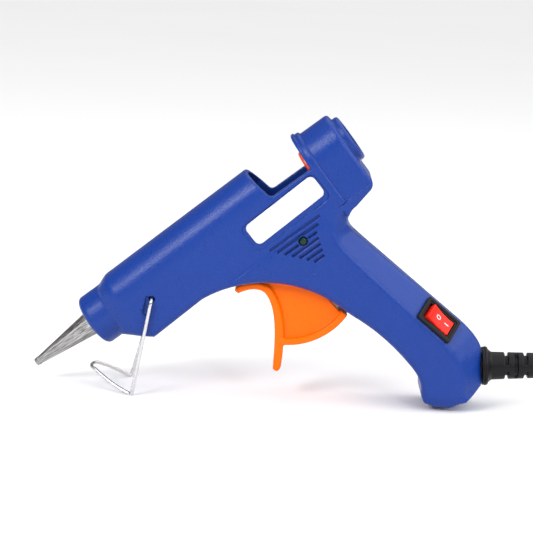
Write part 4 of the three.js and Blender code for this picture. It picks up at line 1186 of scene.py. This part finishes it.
def plug_field(x, y, z):
    if np.ndim(x) == 3:
        shape = (x.shape[0], y.shape[1])
        flat_x, flat_y = np.broadcast_to(x[:, :, 0], shape), np.broadcast_to(y[:, :, 0], shape)
        side = inside(flat_x, flat_y, PLUG_SIDE)[..., None]
    else:
        side = inside(x, y, PLUG_SIDE)
    thick = 4.1 + 2.6 * step_up(x, 4, 15)
    body = fillet(side, np.abs(z) - thick, 2.6)
    for k in range(3):
        grip = np.maximum(np.abs(x - 18.5 - 3.2 * k) - 0.5, 11.1 - np.abs(y))
        body = cut(body, grip, 0.3)
    for k in range(2):
        body = cut(body, np.maximum(np.abs(x - 1.9 - 2.2 * k) - 0.4, 3.4 - np.hypot(y, z)), 0.15)
    prongs = np.hypot(np.abs(y) - PRONG_Y, z) - 2.3
    return cut(body, np.maximum(prongs, 29.6 - x), 0.15)


plug = field_object("plug", plug_field, (-0.4, -13, -7.2), (34.4, 13, 7.2), 0.26, BLACK, ["plug_body"], 0.01,
                    GUN.inverted() @ PLUG)
for name, y in (("left", -PRONG_Y), ("right", PRONG_Y)):
    at = PLUG @ Matrix.Translation((0, y, 0))
    lathe("prong_" + name, [
        (30, 0, 0), (30, 1.7, 0.2), (44, 1.7, 0), (44.05, 1.98, 0.1), (52.5, 1.98, 1.2), (52.5, 0, 0),
    ], BRASS, ["plug_pin_" + name], 48, at, steps=6)
    lathe("prong_sleeve_" + name, [
        (34.1, 1.72, 0), (34.1, 1.98, 0.1), (43.95, 1.98, 0.1), (43.95, 1.72, 0),
    ], BLACK, (), 48, at)
[row[0] / 1000 for row in ring_rows(LEAD, CORD_R)]


# ------------------------------------------------------------------ floor and light
def facing(direction):
    return Vector(direction).to_track_quat("-Z", "Y").to_euler()


def soft_light(name, place, aim, size, power):
    data = bpy.data.lights.new(name, "AREA")
    data.shape = "RECTANGLE"
    data.size, data.size_y = size
    data.energy = power
    lamp = link(name, data)
    lamp.location = place
    lamp.rotation_euler = facing(Vector(aim) - Vector(place))


def broad_light(name, place, spread, strength):
    """A far, wide softbox: the same light over the whole floor."""
    data = bpy.data.lights.new(name, "SUN")
    data.angle = spread * DEG
    data.energy = strength
    link(name, data).rotation_euler = facing(-Vector(place))


def floor_sheet():
    """A pale floor, wide enough to fill the view to its top edge."""
    points = [(-6, -3, 0), (6, -3, 0), (6, 14, 0), (-6, 14, 0)]
    mesh = mesh_of("floor", points, [(0, 1, 2, 3)], Matrix())
    n = Nodes("floor")
    n.join(n.blend(n.noise(3, 2), (0.9, 0.9, 0.905), (0.93, 0.93, 0.935)), n.shader.inputs["Base Color"])
    n.set(Roughness=0.7, Specular_IOR_Level=0.15)
    mesh.materials.append(n.material)
    link("floor", mesh)


floor_sheet()
broad_light("overhead", (0.3, 0.0, 1), 110, 2.4)
soft_light("key", (-0.54, -0.61, 0.53), (0, 0, 0.05), (0.3, 0.3), 5.0)
soft_light("side", (0.66, -0.13, 0.66), (0.03, 0, 0.05), (1.1, 1.1), 4.2)
soft_light("edge", (0.43, -0.70, 0.39), (0.03, 0, 0.05), (0.12, 0.2), 1.3)
world = bpy.data.worlds.new("studio")
bpy.context.scene.world = world
world.use_nodes = True
world.node_tree.nodes["Background"].inputs["Color"].default_value = (1, 1, 1, 1)
world.node_tree.nodes["Background"].inputs["Strength"].default_value = 0.24
bpy.context.scene.view_settings.view_transform = "Standard"
